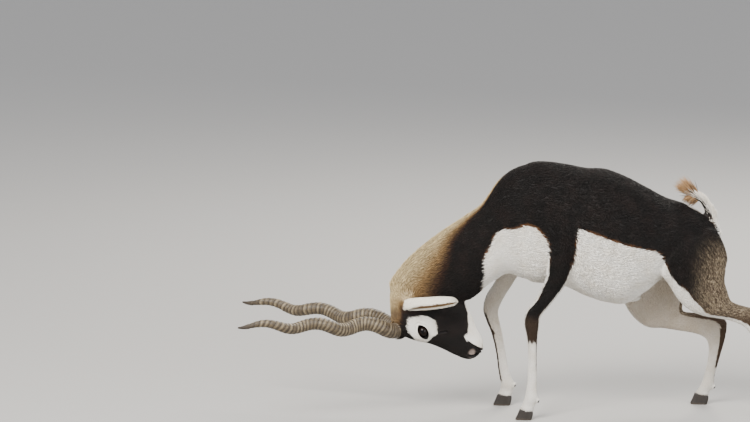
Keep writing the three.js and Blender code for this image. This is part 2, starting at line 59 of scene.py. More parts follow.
NECK = np.array([
    [96, 738, 102, 386, 0, 103, 0.5], [23, 724, 38, 398, 0, 92, 0.5], [-30, 687, -6, 410, 0, 83, 0.5],
    [-84, 615, -39, 393, 0, 75, 0.5], [-139, 575, -67, 373, 0, 69, 0.5],
    [-200, 534, -90, 351, 0, 65, 0.5], [-261, 487, -113, 335, 0, 61, 0.5],
    [-313, 436, -126, 329, 0, 57, 0.55], [-348, 377, -136, 324, 0, 55, 0.62],
    [-338, 324, -178, 281, 0, 45, 0.62],
])
HEAD = np.array([
    [-343, 350, -330, 370, 0, 18, 0.6], [-347, 338, -325, 386, 0, 32, 0.6],
    [-341, 272, -283, 406, 0, 46, 0.62], [-318, 236, -248, 400, 0, 53, 0.68],
    [-294, 221, -220, 391, 0, 53, 0.74], [-266, 212, -193, 380, 0, 51, 0.78],
    [-245, 208, -176, 369, 0, 47.5, 0.78], [-223, 201, -157, 354, 0, 42, 0.72],
    [-202, 192, -139, 336, 0, 37.5, 0.66], [-183, 183, -125, 318, 0, 34, 0.62],
    [-168, 175, -115, 297, 0, 31.5, 0.6], [-152, 168, -105, 277, 0, 29.5, 0.58],
    [-133, 160, -95, 248, 0, 28, 0.56], [-112, 158, -82, 226, 0, 25, 0.54],
    [-94, 169, -76, 209, 0, 19, 0.52], [-81, 179, -75, 193, 0, 11, 0.5],
])
FORE_LEFT = np.array([
    [78, 622, 203, 613, -60, 38], [91, 550, 197, 544, -73, 36], [104, 493, 188, 481, -81, 33],
    [106, 432, 171, 415, -87, 29], [91, 392, 145, 371, -90, 25], [70, 351, 115, 333, -93, 22],
    [46, 319, 90, 303, -95, 20], [39, 284, 84, 275, -97, 19.5], [45, 252, 81, 247, -98, 16.5],
    [49, 223, 79, 223, -99, 13.5], [52, 173, 78, 173, -101, 12.5], [50, 115, 78, 115, -103, 12.5],
    [46, 83, 78, 81, -104, 14], [42, 64, 81, 59, -105, 16.5], [36, 45, 72, 39, -105, 15],
    [28, 30, 68, 23, -105, 16],
])
FORE_RIGHT = np.array([
    [-12, 573, 107, 582, 60, 38], [-22, 498, 78, 504, 72, 35], [-26, 432, 49, 426, 81, 31],
    [-38, 378, 14, 366, 87, 26], [-65, 331, -14, 319, 91, 23], [-74, 289, -28, 283, 94, 20],
    [-64, 253, -25, 253, 97, 17.5], [-49, 215, -16, 215, 99, 14.5], [-36, 162, -7, 162, 101, 12.5],
    [-29, 112, 1, 115, 102, 12.5], [-24, 82, 10, 85, 103, 14], [-20, 63, 20, 64, 104, 16.5],
    [-23, 44, 16, 41, 105, 15], [-30, 33, 13, 26, 105, 16],
])
HIND_LEFT = np.array([
    [396, 596, 552, 568, -42, 26], [388, 560, 590, 550, -50, 38], [388, 525, 613, 518, -58, 45],
    [406, 473, 628, 473, -65, 44], [432, 424, 624, 438, -70, 40], [458, 389, 621, 401, -74, 36],
    [484, 348, 629, 372, -77, 33], [516, 318, 637, 349, -79, 29], [557, 300, 648, 340, -80, 25],
    [597, 293, 664, 334, -81, 22], [638, 285, 682, 329, -83, 19.5], [673, 270, 703, 325, -85, 18.5],
    [692, 250, 725, 322, -87, 18], [702, 227, 742, 296, -88, 17], [708, 201, 747, 239, -90, 15],
    [715, 166, 748, 172, -93, 13.5], [725, 125, 756, 125, -96, 13], [734, 96, 768, 95, -98, 14.5],
    [740, 76, 780, 73, -99, 16.5], [738, 54, 776, 48, -100, 15], [732, 35, 774, 28, -100, 16],
])
HIND_RIGHT = np.array([
    [366, 585, 540, 570, 42, 26], [346, 535, 580, 548, 50, 38], [334, 478, 596, 508, 58, 46],
    [325, 397, 574, 435, 64, 44], [334, 322, 542, 372, 68, 40], [365, 269, 516, 325, 70, 35],
    [406, 240, 510, 296, 70, 31], [450, 236, 516, 287, 69, 26], [496, 229, 536, 284, 67, 22],
    [539, 222, 574, 280, 66, 19.5], [566, 213, 608, 276, 66, 18.5], [581, 199, 639, 258, 68, 18],
    [587, 178, 638, 213, 73, 17], [586, 141, 624, 154, 83, 14.5], [581, 110, 615, 114, 94, 13],
    [576, 82, 609, 83, 105, 14], [568, 58, 608, 56, 113, 16.5], [560, 43, 597, 36, 118, 15],
    [552, 32, 594, 23, 121, 16],
])
TAIL = np.array([
    [542, 565, 618, 522, 0, 15], [561, 587, 606, 568, 0, 14], [560, 603, 587, 602, 0, 12],
    [550, 620, 568, 629, 0, 10.5], [536, 627, 545, 649, 0, 9.5], [523, 634, 527, 659, 0, 8],
])
# The sections keep an x of their own, laid on the part's by the place of the eye. The head's frame starts
# between the horns, runs along the head to the nose, and has its second way out of the face.
EYE_X_IN_ROWS = -251.11
eye_low, eye_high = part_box("eye_left")
SHIFT = np.array([(eye_low.x + eye_high.x) * 500 - EYE_X_IN_ROWS, 0, 0])
HEAD_ORIGIN = np.array([-304.5, 0, 268.6])
HEAD_ALONG = np.array([0.9145, 0, -0.4045])
FACEWARD = np.array([-0.4045, 0, -0.9145])


def on_head(u, v, y):
    """A place given along the head, out of its face and across it, in mm."""
    return HEAD_ORIGIN + SHIFT + HEAD_ALONG * u + FACEWARD * v + np.array([0, y, 0])


def head_place(place):
    """Along the head, out of its face and across it, in mm, for one point or many."""
    d = place - HEAD_ORIGIN - SHIFT
    return d @ HEAD_ALONG, d @ FACEWARD, d[..., 1]


def between(rows, places):
    """Rows of numbers read smoothly at places among them."""
    low = np.clip(np.floor(places).astype(int), 0, len(rows) - 2)
    f = (places - low)[:, None]
    before, first, second, after = (rows[np.clip(low + k, 0, len(rows) - 1)] for k in (-1, 0, 1, 2))
    slope, slope_next = (second - before) / 2, (after - first) / 2
    return ((2 * f**3 - 3 * f**2 + 1) * first + (f**3 - 2 * f**2 + f) * slope
            + (3 * f**2 - 2 * f**3) * second + (f**3 - f**2) * slope_next)


def ovals(rows, count, sides, square=1.0):
    """Rings of points round the flesh, and for each point its turn round the section."""
    a = between(rows.astype(float), np.linspace(0, len(rows) - 1, count))
    if a.shape[1] < 7:
        a = np.hstack([a, np.full((count, 1), 0.5)])
    turn = (np.arange(sides) + 0.5) / sides * 2 * np.pi
    rise = np.sign(np.sin(turn)) * np.abs(np.sin(turn)) ** square
    side = np.sign(np.cos(turn)) * np.abs(np.cos(turn)) ** square
    level = a[:, 6:7]
    height = level + np.where(rise > 0, (1 - level) * rise, level * rise)
    x = a[:, 2:3] + (a[:, 0:1] - a[:, 2:3]) * height
    z = a[:, 3:4] + (a[:, 1:2] - a[:, 3:4]) * height
    return np.stack([x, a[:, 4:5] + side * a[:, 5:6], z], -1) + SHIFT, np.tile(turn, (count, 1))


def tube(rings):
    """Points and faces of a closed body from rings of points."""
    count, sides = rings.shape[:2]
    k, i = np.meshgrid(np.arange(count - 1), np.arange(sides), indexing="ij")
    j = (i + 1) % sides
    faces = np.stack([k * sides + i, k * sides + j, (k + 1) * sides + j, (k + 1) * sides + i], -1)
    faces = [tuple(f) for f in faces.reshape(-1, 4).tolist()]
    faces.append(tuple(range(sides))[::-1])
    faces.append(tuple(range((count - 1) * sides, count * sides)))
    return rings.reshape(-1, 3), faces


def egg(middle, radii, turn=0.0, sides=32):
    """A ball with a radius along each axis, turned in the middle plane, as rings that stop short of its poles."""
    up = np.linspace(-0.492, 0.492, 20)[:, None] * np.pi
    around = np.arange(sides)[None, :] / sides * 2 * np.pi
    p = np.stack([np.cos(up) * np.cos(around) * radii[0], np.cos(up) * np.sin(around) * radii[1],
                  np.sin(up) * radii[2] + 0 * around], -1)
    c, s = math.cos(turn), math.sin(turn)
    return np.stack([p[..., 0] * c + p[..., 2] * s, p[..., 1], -p[..., 0] * s + p[..., 2] * c], -1) + middle


def mesh_object(name, points, faces):
    """A smooth-shaded object from points in metres and faces."""
    mesh = bpy.data.meshes.new(name)
    mesh.from_pydata(np.asarray(points, float).tolist(), [], faces)
    mesh.update()
    mesh.polygons.foreach_set("use_smooth", [True] * len(mesh.polygons))
    made = bpy.data.objects.new(name, mesh)
    bpy.context.scene.collection.objects.link(made)
    return made


def fused(bodies):
    """Points and faces of several bodies as one list."""
    points, faces, start = [], [], 0
    for body_points, body_faces in bodies:
        points.append(body_points)
        faces += [tuple(i + start for i in f) for f in body_faces]
        start += len(body_points)
    return np.vstack(points), faces


HEAD_TURN = math.atan2(-HEAD_ALONG[2], HEAD_ALONG[0])
EYE_AT, EYE_SIDE, EYE_RADIUS, LID = (57.5, -2.0), 37.0, 18.0, 3.2
LEGS = {"fore_left": FORE_LEFT, "fore_right": FORE_RIGHT, "hind_left": HIND_LEFT, "hind_right": HIND_RIGHT}
# Each form's sections, rings, points round, squareness, and the way of the hair along its sections.
FLESH = {
    "trunk": (TRUNK, 190, 150, 0.95, 1), "neck": (NECK, 150, 130, 1, -1), "head": (HEAD, 170, 130, 0.92, -1),
    "fore_left": (FORE_LEFT, 200, 60, 1, 1), "fore_right": (FORE_RIGHT, 200, 60, 1, 1),
    "hind_left": (HIND_LEFT, 240, 80, 1, 1), "hind_right": (HIND_RIGHT, 240, 80, 1, 1),
    "tail": (TAIL, 50, 32, 1, 1),
}
forms = {name: ovals(rows, count, sides, square) for name, (rows, count, sides, square, _) in FLESH.items()}
bodies = [tube(rings) for rings, _ in forms.values()]
SHEATH, PURSE = np.array([340, 0, 341]), np.array([512, 0, 412])
bodies.append(tube(egg(SHEATH + SHIFT, [42, 12, 15], 0.1)))
bodies.append(tube(egg(PURSE + SHIFT, [17, 19, 26])))
for side in (-1, 1):
    lid = EYE_RADIUS + LID
    nose_wing, ear_base = on_head(224, 3, side * 15), np.array([-304, side * 45, 326]) + SHIFT
    bodies.append(tube(egg(on_head(*EYE_AT, side * EYE_SIDE), [lid + 6, lid, lid + 2], HEAD_TURN + 0.5)))
    bodies.append(tube(egg(nose_wing, [11, 6.5, 7], HEAD_TURN - 0.5)))
    bodies.append(tube(egg(ear_base, [16, 13, 15])))
DEWCLAWS = [(bx, y + out_by, bz)
            for _, _, bx, bz, y, _ in (rows[-3] for rows in LEGS.values()) for out_by in (-8, 8)]
for bx, y, bz in DEWCLAWS:
    bodies.append(tube(egg(np.array([bx + 1, y, bz - 4]) + SHIFT, [5, 4.5, 8], 0.4, 16)))

# A horn stands on a base in the head's frame and has a straight axis, base to tip, for the right side, in mm.
# Its line winds round that axis: its turns, where they start, how far out they swing, and how much less at last.
HORN_AT, HORN_AXIS = (2, 12, 34), (-476.0, 172.0, 38.0)
HORN_TURNS, HORN_START, HORN_SWING, HORN_TIGHTER = 3.25, 0.3, 11, 0.45


def horn_line(side):
    """The line of a horn: a spiral round a straight axis, tightening toward the tip."""
    base, axis = on_head(*HORN_AT[:2], side * HORN_AT[2]), np.array(HORN_AXIS) * [1, side, 1]
    along = axis / np.linalg.norm(axis)
    across = np.array([0, 0, 1]) - along * along[2]
    across /= np.linalg.norm(across)
    out = np.cross(along, across) * side

    def at(t):
        t = np.asarray(t, float)[..., None]
        turn, swing = 2 * np.pi * (HORN_START + HORN_TURNS * t), HORN_SWING * (1 - HORN_TIGHTER * t)
        return base + axis * t + across * swing * np.cos(turn) - out * swing * np.sin(turn)

    def rings(t, radius, sides):
        """Rings round the line at places t; radius is one number a ring or one a point."""
        way = at(t + 0.01) - at(t - 0.01)
        way /= np.linalg.norm(way, axis=-1, keepdims=True)
        up = across - way * (way @ across)[:, None]
        up /= np.linalg.norm(up, axis=-1, keepdims=True)
        left = np.cross(way, up)
        turn = np.arange(sides) / sides * 2 * np.pi
        radius = np.broadcast_to(np.asarray(radius, float).reshape(len(t), -1), (len(t), sides))[..., None]
        ring = up[:, None] * np.cos(turn)[None, :, None] + left[:, None] * np.sin(turn)[None, :, None]
        return at(t)[:, None] + ring * radius
    return rings


# The skin reaches a little up each horn as a collar.
COLLAR_PLACES, COLLAR_RADII = np.array([-0.08, -0.04, 0.0, 0.02, 0.034]), [27, 27, 27, 26, 24.8]
for side in (-1, 1):
    bodies.append(tube(horn_line(side)(COLLAR_PLACES, COLLAR_RADII, 40)))

FUSE_CELL = 0.003
points, faces = fused(bodies)
rough = mesh_object("rough", points / 1000, faces)
shell = rough.modifiers.new("fuse", "REMESH")
shell.mode, shell.voxel_size = "VOXEL", FUSE_CELL
ready = rough.evaluated_get(bpy.context.evaluated_depsgraph_get())
whole = bpy.data.meshes.new_from_object(ready)
bpy.data.objects.remove(rough)


def rows_of(items, key, width, kind=float):
    """One property of all vertices, edges or faces, a row of numbers for each."""
    found = np.empty(len(items) * width, kind)
    items.foreach_get(key, found)
    return found.reshape(-1, width)


def skin_normals():
    return rows_of(whole.vertex_normals, "vector", 3)


def set_skin(places):
    """Moves the skin's points to places in mm."""
    whole.vertices.foreach_set("co", (places / 1000).ravel())
    whole.update()


def neighbours_mean(values, edges):
    """The mean of each vertex's neighbours."""
    n = len(values)
    a, b = edges[:, 0], edges[:, 1]
    count = np.bincount(a, minlength=n) + np.bincount(b, minlength=n)
    columns = []
    for column in np.atleast_2d(values.T):
        columns.append((np.bincount(a, column[b], n) + np.bincount(b, column[a], n)) / np.maximum(count, 1))
    return np.array(columns).T.reshape(values.shape)


def relax(values, edges, times, strength=0.5):
    """Evens values out over the mesh; strength is one number or one a vertex."""
    for _ in range(times):
        values = values + (neighbours_mean(values, edges) - values) * strength
    return values


# The folds where forms meet are found by how hollow the skin is there, and eased. Feet and face keep theirs.
points, edges = rows_of(whole.vertices, "co", 3) * 1000, rows_of(whole.edges, "vertices", 2, int)
points = relax(points, edges, 4)
hollow = np.einsum("ij,ij->i", neighbours_mean(points, edges) - points, skin_normals())
crease = np.clip(relax(np.clip(hollow - 0.12, 0, 0.6), edges, 10) * 14, 0, 1)
crease *= np.clip((points[:, 2] - 60) / 40, 0, 1)
crease *= np.clip((15 - head_place(points)[0]) / 30, 0.12, 1)
points = relax(points, edges, 45, 0.5 * crease[:, None])
set_skin(points)

# The head's skin is cut finer than the rest, and finest round the eyes, nostrils and lips.
fine = bmesh.new()
fine.from_mesh(whole)
for finest in (False, True):
    chosen = set()
    for face in fine.faces:
        u, v, y = head_place(np.array(face.calc_center_median()) * 1000)
        if finest:
            near_eye = math.hypot(u - EYE_AT[0], v - EYE_AT[1]) < 34 and abs(y) > 25
            near_gland = math.hypot(u - 97, v + 9) < 15
            at_muzzle = u > 165 and v > -45
            cut = near_eye or near_gland or at_muzzle
        else:
            cut = -20 < u < 265 and -150 < v < 90
        if cut:
            chosen.update(face.edges)
    bmesh.ops.subdivide_edges(fine, edges=list(chosen), cuts=1, use_grid_fill=True)
bmesh.ops.triangulate(fine, faces=[f for f in fine.faces if len(f.verts) > 4])
fine.to_mesh(whole)
fine.free()
whole.update()
points, edges = rows_of(whole.vertices, "co", 3) * 1000, rows_of(whole.edges, "vertices", 2, int)
points = relax(points, edges, 5)
set_skin(points)
normals = skin_normals()


def bell(*ways):
    """1 at a middle, falling off smoothly; each way across it is a value, its middle and its reach."""
    fall = 0.0
    for value, middle, reach in ways:
        fall = fall - ((value - middle) / reach) ** 2
    return np.exp(fall)


def swell(middle, radii, height, turn=0.0):
    """How far a soft bump lifts each point, from a middle in the head's own frame."""
    d = head_points - np.array(middle)
    c, s = math.cos(turn), math.sin(turn)
    a, b = d[:, 0] * c + d[:, 1] * s, -d[:, 0] * s + d[:, 1] * c
    return height * bell((a, 0, radii[0]), (b, 0, radii[1]), (d[:, 2], 0, radii[2]))


def along_line(line, values):
    """The distance of each (u, v) point from a line of points, and how far along it that is, 0 to 1."""
    line = np.array(line, float)
    steps = np.linalg.norm(np.diff(line, axis=0), axis=1)
    total, best, place, run = steps.sum(), np.full(len(values), 1e9), np.zeros(len(values)), 0.0
    for a, b, length in zip(line[:-1], line[1:], steps):
        f = np.clip(((values - a) @ (b - a)) / length**2, 0, 1)
        d = np.linalg.norm(values - a - f[:, None] * (b - a), axis=1)
        nearer = d < best
        best, place = np.where(nearer, d, best), np.where(nearer, (run + f * length) / total, place)
        run += length
    return best, place


def soft(low, high, value):
    """A smooth step from 0 at low to 1 at high."""
    f = np.clip((value - low) / (high - low), 0, 1)
    return f * f * (3 - 2 * f)


# Bumps and hollows of brow, cheek, jaw, temple and muzzle: middle and radii in the head's frame, height, turn.
HEAD_FORMS = [
    ((92, 18, 44), (34, 6, 16), 2.2, 0.12), ((58, 26, 42), (26, 8, 16), 2.0, 0.1),
    ((62, -52, 46), (44, 30, 26), 3.0, 0.25), ((118, -20, 40), (26, 12, 20), -2.4, 0.1),
    ((150, -34, 34), (26, 10, 20), 1.2, 0.3), ((28, -34, 50), (16, 22, 20), -2.2, 0.2),
    ((214, 16, 16), (18, 8, 14), 1.4, -0.35),
]
GLAND = [[103, -17], [112, -23], [121, -28]]
MOUTH = [[176, -28], [196, -24.5], [214, -20], [230, -15.5], [264, -7]]
NOSTRIL = [[229, -1], [225, 6], [217, 10.5], [209, 12]]
head_points = np.stack(head_place(points), -1)
head_points[:, 2] = np.abs(head_points[:, 2])
from_middle = head_points[:, 2]
lift = np.zeros(len(points))
for head_form in HEAD_FORMS:
    lift += swell(*head_form)

# The gland before each eye is a slit with a raised edge, and so are the mouth and the nostrils.
gland, _ = along_line(GLAND, head_points[:, :2])
lift += np.where(from_middle > 20, 1.4 * bell((gland, 5, 2.8)), 0)
lift -= np.where(from_middle > 20, 3.5 * bell((gland, 0, 2.2)), 0)
mouth, mouth_place = along_line(MOUTH, head_points[:, :2])
forward = np.clip((mouth_place - 0.02) / 0.2, 0, 1)
near_lips = (head_points[:, 0] > 160) & (head_points[:, 0] < 262)
fading = soft(0.95, 0.7, mouth_place)
slit = 2.6 * (0.35 + 0.65 * forward) * (0.3 + 0.7 * fading)
lift += np.where(near_lips, 1.6 * forward * fading * bell((mouth, 4.2, 2.6)), 0)
lift -= np.where(near_lips, slit * bell((mouth, 0, 1.5)), 0)
nostril, nostril_place = along_line(NOSTRIL, head_points[:, :2])
at_nostril = (head_points[:, 0] > 195) & (from_middle > 5)
lift += np.where(at_nostril, 1.8 * bell((nostril, 5.5, 2.4)), 0)
nostril_width = 3.4 * (1 - 0.75 * nostril_place)
lift -= np.where(at_nostril, 7 * (1 - 0.6 * nostril_place) * np.exp(-((nostril / nostril_width) ** 4)), 0)
lift -= swell((243, 5, 0), (16, 9, 2.2), 1.6, -0.5)
points = points + normals * lift[:, None]

# Each eye opening is an almond; inside it the skin turns in behind the ball, at its edge it thickens to a lid.
LID_LONG, LID_HALF, LID_ACROSS, BEHIND_BALL = np.array([0.83, 0.557]), 23.0, 12.5, 3.2


def eye_gap(head):
    """How far points in the head's own frame lie outside the opening of the lids, negative inside it."""
    d = head[:, :2] - np.array(EYE_AT)
    a, b = d @ LID_LONG, d @ np.array([-LID_LONG[1], LID_LONG[0]])
    half_open = LID_ACROSS * np.clip(1 - (a / LID_HALF) ** 2, 0, 1) ** 0.75
    gap = np.where(np.abs(a) < LID_HALF, np.abs(b) - half_open, np.hypot(np.abs(a) - LID_HALF, b))
    return np.where(np.abs(head[:, 2]) > 30, gap, 99.0)


almond = eye_gap(head_points)
signed_side = np.sign(points[:, 1])
ball = np.array([on_head(*EYE_AT, EYE_SIDE * s) for s in (-1, 1)])[(signed_side > 0).astype(int)]
out = points - ball
sunk = np.sqrt(np.clip((EYE_RADIUS - BEHIND_BALL) ** 2 - out[:, 0] ** 2 - out[:, 2] ** 2, 25, None))
floor_of_lid = points.copy()
floor_of_lid[:, 1] = ball[:, 1] + signed_side * sunk
lid_lift = 1.5 * bell((almond, 2.2, 1.8)) - 1.1 * bell((almond, 7, 2.0)) + 0.9 * bell((almond, 10.5, 2.2))
points += normals * lid_lift[:, None]
tuck = np.clip(-almond / 0.9 + 0.35, 0, 1)[:, None]
points = points * (1 - tuck) + floor_of_lid * tuck
near_lid = np.clip(1 - np.abs(almond) / 3, 0, 1)
points = relax(points, edges, 2, 0.35 * near_lid[:, None])
set_skin(points)

# Muscle and bone under the skin of the body: x, height, radius along, radius up, lift, in mm, on both flanks.
MUSCLES = [(430, 545, 42, 38, -7), (474, 600, 30, 20, 4), (178, 500, 13, 75, -5), (20, 560, 20, 95, -4),
           (95, 640, 40, 45, 2.5), (120, 520, 34, 60, 3), (400, 455, 30, 26, -3), (570, 480, 26, 50, 3)]
RIB_PITCH, RIB_LEAN, RIB_RISE = 17, 0.25, 0.25
on_flank = np.clip(np.abs(normals[:, 1]) * 1.6 - 0.4, 0, 1)
for x, z, rx, rz, rise in MUSCLES:
    points += normals * (rise * (bell((points[:, 0], x, rx), (points[:, 2], z, rz)) * on_flank))[:, None]
ribs = np.sin((points[:, 0] - RIB_LEAN * (points[:, 2] - 500)) / RIB_PITCH * np.pi)
ribbed = bell((points[:, 0], 285, 85), (points[:, 2], 500, 75)) * (np.abs(normals[:, 1]) > 0.3)
points += normals * (RIB_RISE * ribs * ribbed)[:, None]
set_skin(points)
normals = skin_normals()


def unit(ways):
    """Ways brought to a length of one."""
    return ways / (np.linalg.norm(ways, axis=-1, keepdims=True) + 1e-9)


# Where each point lies on its form: which form, how far along, its turn, the way of the hair and the girth there.
samples, form_length = [], []
for k, (name, (rings, turn)) in enumerate(forms.items()):
    middle = rings.mean(1)
    run = np.concatenate([[0], np.cumsum(np.linalg.norm(np.diff(middle, axis=0), axis=1))])
    way = unit(np.gradient(rings, axis=0) * FLESH[name][4])
    form_length.append(run[-1])
    some = (slice(None, None, 2), slice(None, None, 3 if rings.shape[1] > 100 else 2))
    samples.append([grid[some].reshape(-1, *grid.shape[2:]) for grid in (
        rings, np.full(turn.shape, k), np.broadcast_to(run[:, None], turn.shape), turn, way,
        np.linalg.norm(rings - middle[:, None], axis=-1))])
sample_points, *sampled = (np.concatenate(column) for column in zip(*samples))
tree = KDTree(len(sample_points))
for i, p in enumerate(sample_points.tolist()):
    tree.insert(p, i)
tree.balance()
nearest = np.array([tree.find(p)[1] for p in points.tolist()])
form, along, turn, way, radius_there = (column[nearest] for column in sampled)
form_length = np.array(form_length)
place_on_form = along / form_length[form]
is_form = {name: form == k for k, name in enumerate(FLESH)}
way = way + np.array([0, 0, -0.25]) * (is_form["trunk"] | is_form["neck"])[:, None]
for _ in range(25):
    way = relax(way, edges, 1)
    way = unit(way - normals * np.einsum("ij,ij->i", way, normals)[:, None])


# The coat's markings, as signed distances in mm from the edge of each patch, positive inside it. The flanks
# are drawn on a side sheet: x, and the height as seen from nine degrees above, by its cosine and its sine.
SHEET_UP, SHEET_OUT, BLACK = 0.988, 0.156, -60


def inside(outline, x, h):
    """The signed distance of points from a closed outline, positive inside."""
    outline = np.array(outline, float)
    best, wound = np.full(len(x), 1e9), np.zeros(len(x), bool)
    for (ax, ah), (bx, bh) in zip(outline, np.roll(outline, -1, 0)):
        ex, eh = bx - ax, bh - ah
        f = np.clip(((x - ax) * ex + (h - ah) * eh) / (ex * ex + eh * eh), 0, 1)
        best = np.minimum(best, np.hypot(x - ax - f * ex, h - ah - f * eh))
        crosses = (ah > h) != (bh > h)
        wound ^= crosses & (x < ax + (h - ah) / np.where(eh == 0, 1e-9, eh) * ex)
    return np.where(wound, best, -best)


CHEST = [(-75, 372), (-83, 412), (-83, 442), (-65, 482), (-48, 518), (-25, 533), (-5, 530), (21, 540),
         (41, 548), (66, 540), (91, 513), (108, 477), (116, 442), (113, 417), (135, 350), (150, 250), (-70, 250)]
FLANK = [(189, 540), (242, 519), (281, 505), (328, 488), (374, 476), (405, 468), (425, 458), (444, 433),
         (462, 398), (483, 370), (540, 300), (540, 200), (120, 200), (120, 330), (146, 362), (169, 402),
         (176, 442), (186, 482)]
# The far foreleg stands further forward, and the black of its shoulder runs down to it between these two patches.
CHEST_FAR = [(-75, 372), (-83, 412), (-83, 442), (-67, 480), (-52, 506), (-38, 512), (-28, 500), (-23, 470),
             (-26, 430), (-38, 385), (-60, 340), (-70, 250)]
FLANK_FAR = [(112, 505), (122, 530), (150, 536), (189, 536)] + FLANK[1:-6] + [
    (-20, 200), (-20, 318), (12, 352), (44, 392), (72, 432), (96, 476)]
THIGH = [(405, 480), (425, 458), (444, 433), (462, 398), (483, 375), (506, 361), (522, 336), (549, 309),
         (561, 289), (540, 200), (300, 200), (300, 480)]
EYE_RING = [(-295, 267), (-291, 274), (-271, 278), (-252, 283), (-233, 279), (-214, 269), (-210, 253), (-209, 231),
            (-221, 222), (-236, 208), (-238, 196), (-262, 200), (-276, 216), (-290, 231), (-295, 248)]
CHIN = [(-134, 332), (-121, 291), (-119, 253), (-122, 231), (-131, 221), (-125, 209), (-113, 203), (-96, 195),
        (-75, 186), (-40, 190), (-40, 345)]
x, y, z = points.T
aside = np.abs(y)
sheet = SHEET_UP * z - SHEET_OUT * aside
near_patch = np.maximum(inside(CHEST, x, sheet), inside(FLANK, x, sheet))
far_patch = np.maximum(inside(CHEST_FAR, x, sheet), inside(FLANK_FAR, x, sheet))
patches = near_patch + (far_patch - near_patch) * soft(-22, 22, y)


def whiter(white, where, inner):
    """The white, and also what lies within one more patch where that one holds."""
    return np.where(where, np.maximum(white, inner), white)


def on_leg(name):
    """Which points are on a leg, and how far down it each of them lies, 0 to 1."""
    return is_form[name], place_on_form[is_form[name]]


def round_leg(degrees, radius):
    """How many mm round a leg an angle takes."""
    return degrees / 57.3 * radius


# Belly and rump are white, and the neck behind the jaw is black.
white = whiter(patches, z <= 400, (400 - z) * 0.4 * (x > 60))
white = whiter(white, is_form["trunk"] & (x > 500), 34 - aside - np.clip(z - 470, -60, 60) * 0.5)
white = np.where(is_form["neck"] & (x < -90), BLACK, white)

# The dark of each leg lies on its outer side. Its front and rear edges are given as shares of the leg's length
# and the bearings there, in degrees from the outer side toward the front. Where it ends across the leg, a share
# of the length counts for less than its real mm, so that those ends are softer.
FORE_REAR = [0, 0.35, 0.5, 0.68], [-75, -58, -52, -64]
HIND_FRONT = [0, 0.25, 0.45, 0.6, 0.72, 1], [70, 52, 40, 36, 40, 55]
HIND_REAR_PLACES = [0, 0.3, 0.5, 0.62, 0.75, 1]
LEG_DARK = {
    "fore_left": (([0, 0.3, 0.45, 0.53, 0.6, 0.68], [75, 62, 52, 60, 76, 72]), FORE_REAR),
    "fore_right": (([0, 0.3, 0.44, 0.5, 0.56], [75, 70, 72, 100, 116]), FORE_REAR),
    "hind_left": (HIND_FRONT, (HIND_REAR_PLACES, [-100, -112, -125, -145, -130, -118])),
    "hind_right": (HIND_FRONT, (HIND_REAR_PLACES, [-98, -106, -135, -176, -166, -130])),
}
KNEE, BELOW_KNEE = {"fore_left": 0.56, "fore_right": 0.55}, 0.105
for name, (front_edge, rear_edge) in LEG_DARK.items():
    here, place = on_leg(name)
    rows = LEGS[name]
    outer = np.cos(turn[here]) * (-1 if name.endswith("left") else 1)
    bearing = np.degrees(np.arctan2(np.sin(turn[here]), outer))
    girth = np.hypot(rows[:, 5], (rows[:, 0] - rows[:, 2]) / 2) * 0.8
    radius = np.interp(place, np.linspace(0, 1, len(rows)), girth)
    to_front, to_rear = np.interp(place, *front_edge) - bearing, bearing - np.interp(place, *rear_edge)
    dark = round_leg(np.minimum(to_front, to_rear), radius)
    if name in KNEE:
        knee = KNEE[name]
        ragged = 0.012 * np.sin(np.radians(bearing) * 7 + 1)
        dark = np.minimum(dark, (knee + BELOW_KNEE - place + ragged) * 300)
        if name == "fore_right":
            line = 7.5 - round_leg(np.abs(bearing - 112), radius)
            spot = 8 - np.hypot((place - 0.655) * 400, round_leg(bearing - 128, radius))
            dark = np.maximum(dark, spot)
        else:
            line = np.minimum(3.4 - round_leg(np.abs(bearing + 66), radius), (0.8 - place) * 120)
        dark = np.maximum(dark, np.minimum(line, np.minimum(place - knee, 0.92 - place) * 200))
        down = soft(0.1, 0.22, place)
        white[here] = patches[here] * (1 - down) - dark * down
    else:
        dark = np.minimum(dark, (0.86 - place) * 300)
        line = np.minimum(5 - round_leg(np.abs(bearing + 95), radius), (0.93 - place) * 300)
        dark = np.maximum(dark, np.where(place > 0.62, line, -50))
        if name == "hind_left":
            dark = np.where(place < 0.45, np.minimum(dark, -inside(THIGH, x[here], sheet[here])), dark)
        in_trunk = (place < 0.22) & (z[here] > 330)
        white[here] = np.where(in_trunk, np.maximum(white[here], BLACK), -dark)

# Brisket, the hollow between the thighs, and the rear side of the tail are white; so are eye ring and chin.
brisket = (aside < 64) & (x > -78) & (x < 200) & (z < 438)
white = whiter(white, brisket, (64 - aside) * 0.6)
between_legs = (aside < 52) & (x > 430) & (z < 452) & ((normals[:, 1] * y < 4) | is_form["trunk"])
white = whiter(white, between_legs, (52 - aside) * 0.5)
white[is_form["tail"]] = -np.sin(turn[is_form["tail"]]) * 12 - 2
face_marks = np.maximum(np.where(aside > 20, inside(EYE_RING, x, sheet), BLACK), inside(CHIN, x, sheet))
white = np.where(is_form["head"], face_marks, white)
white = np.clip(relax(white, edges, 3), BLACK, -BLACK)

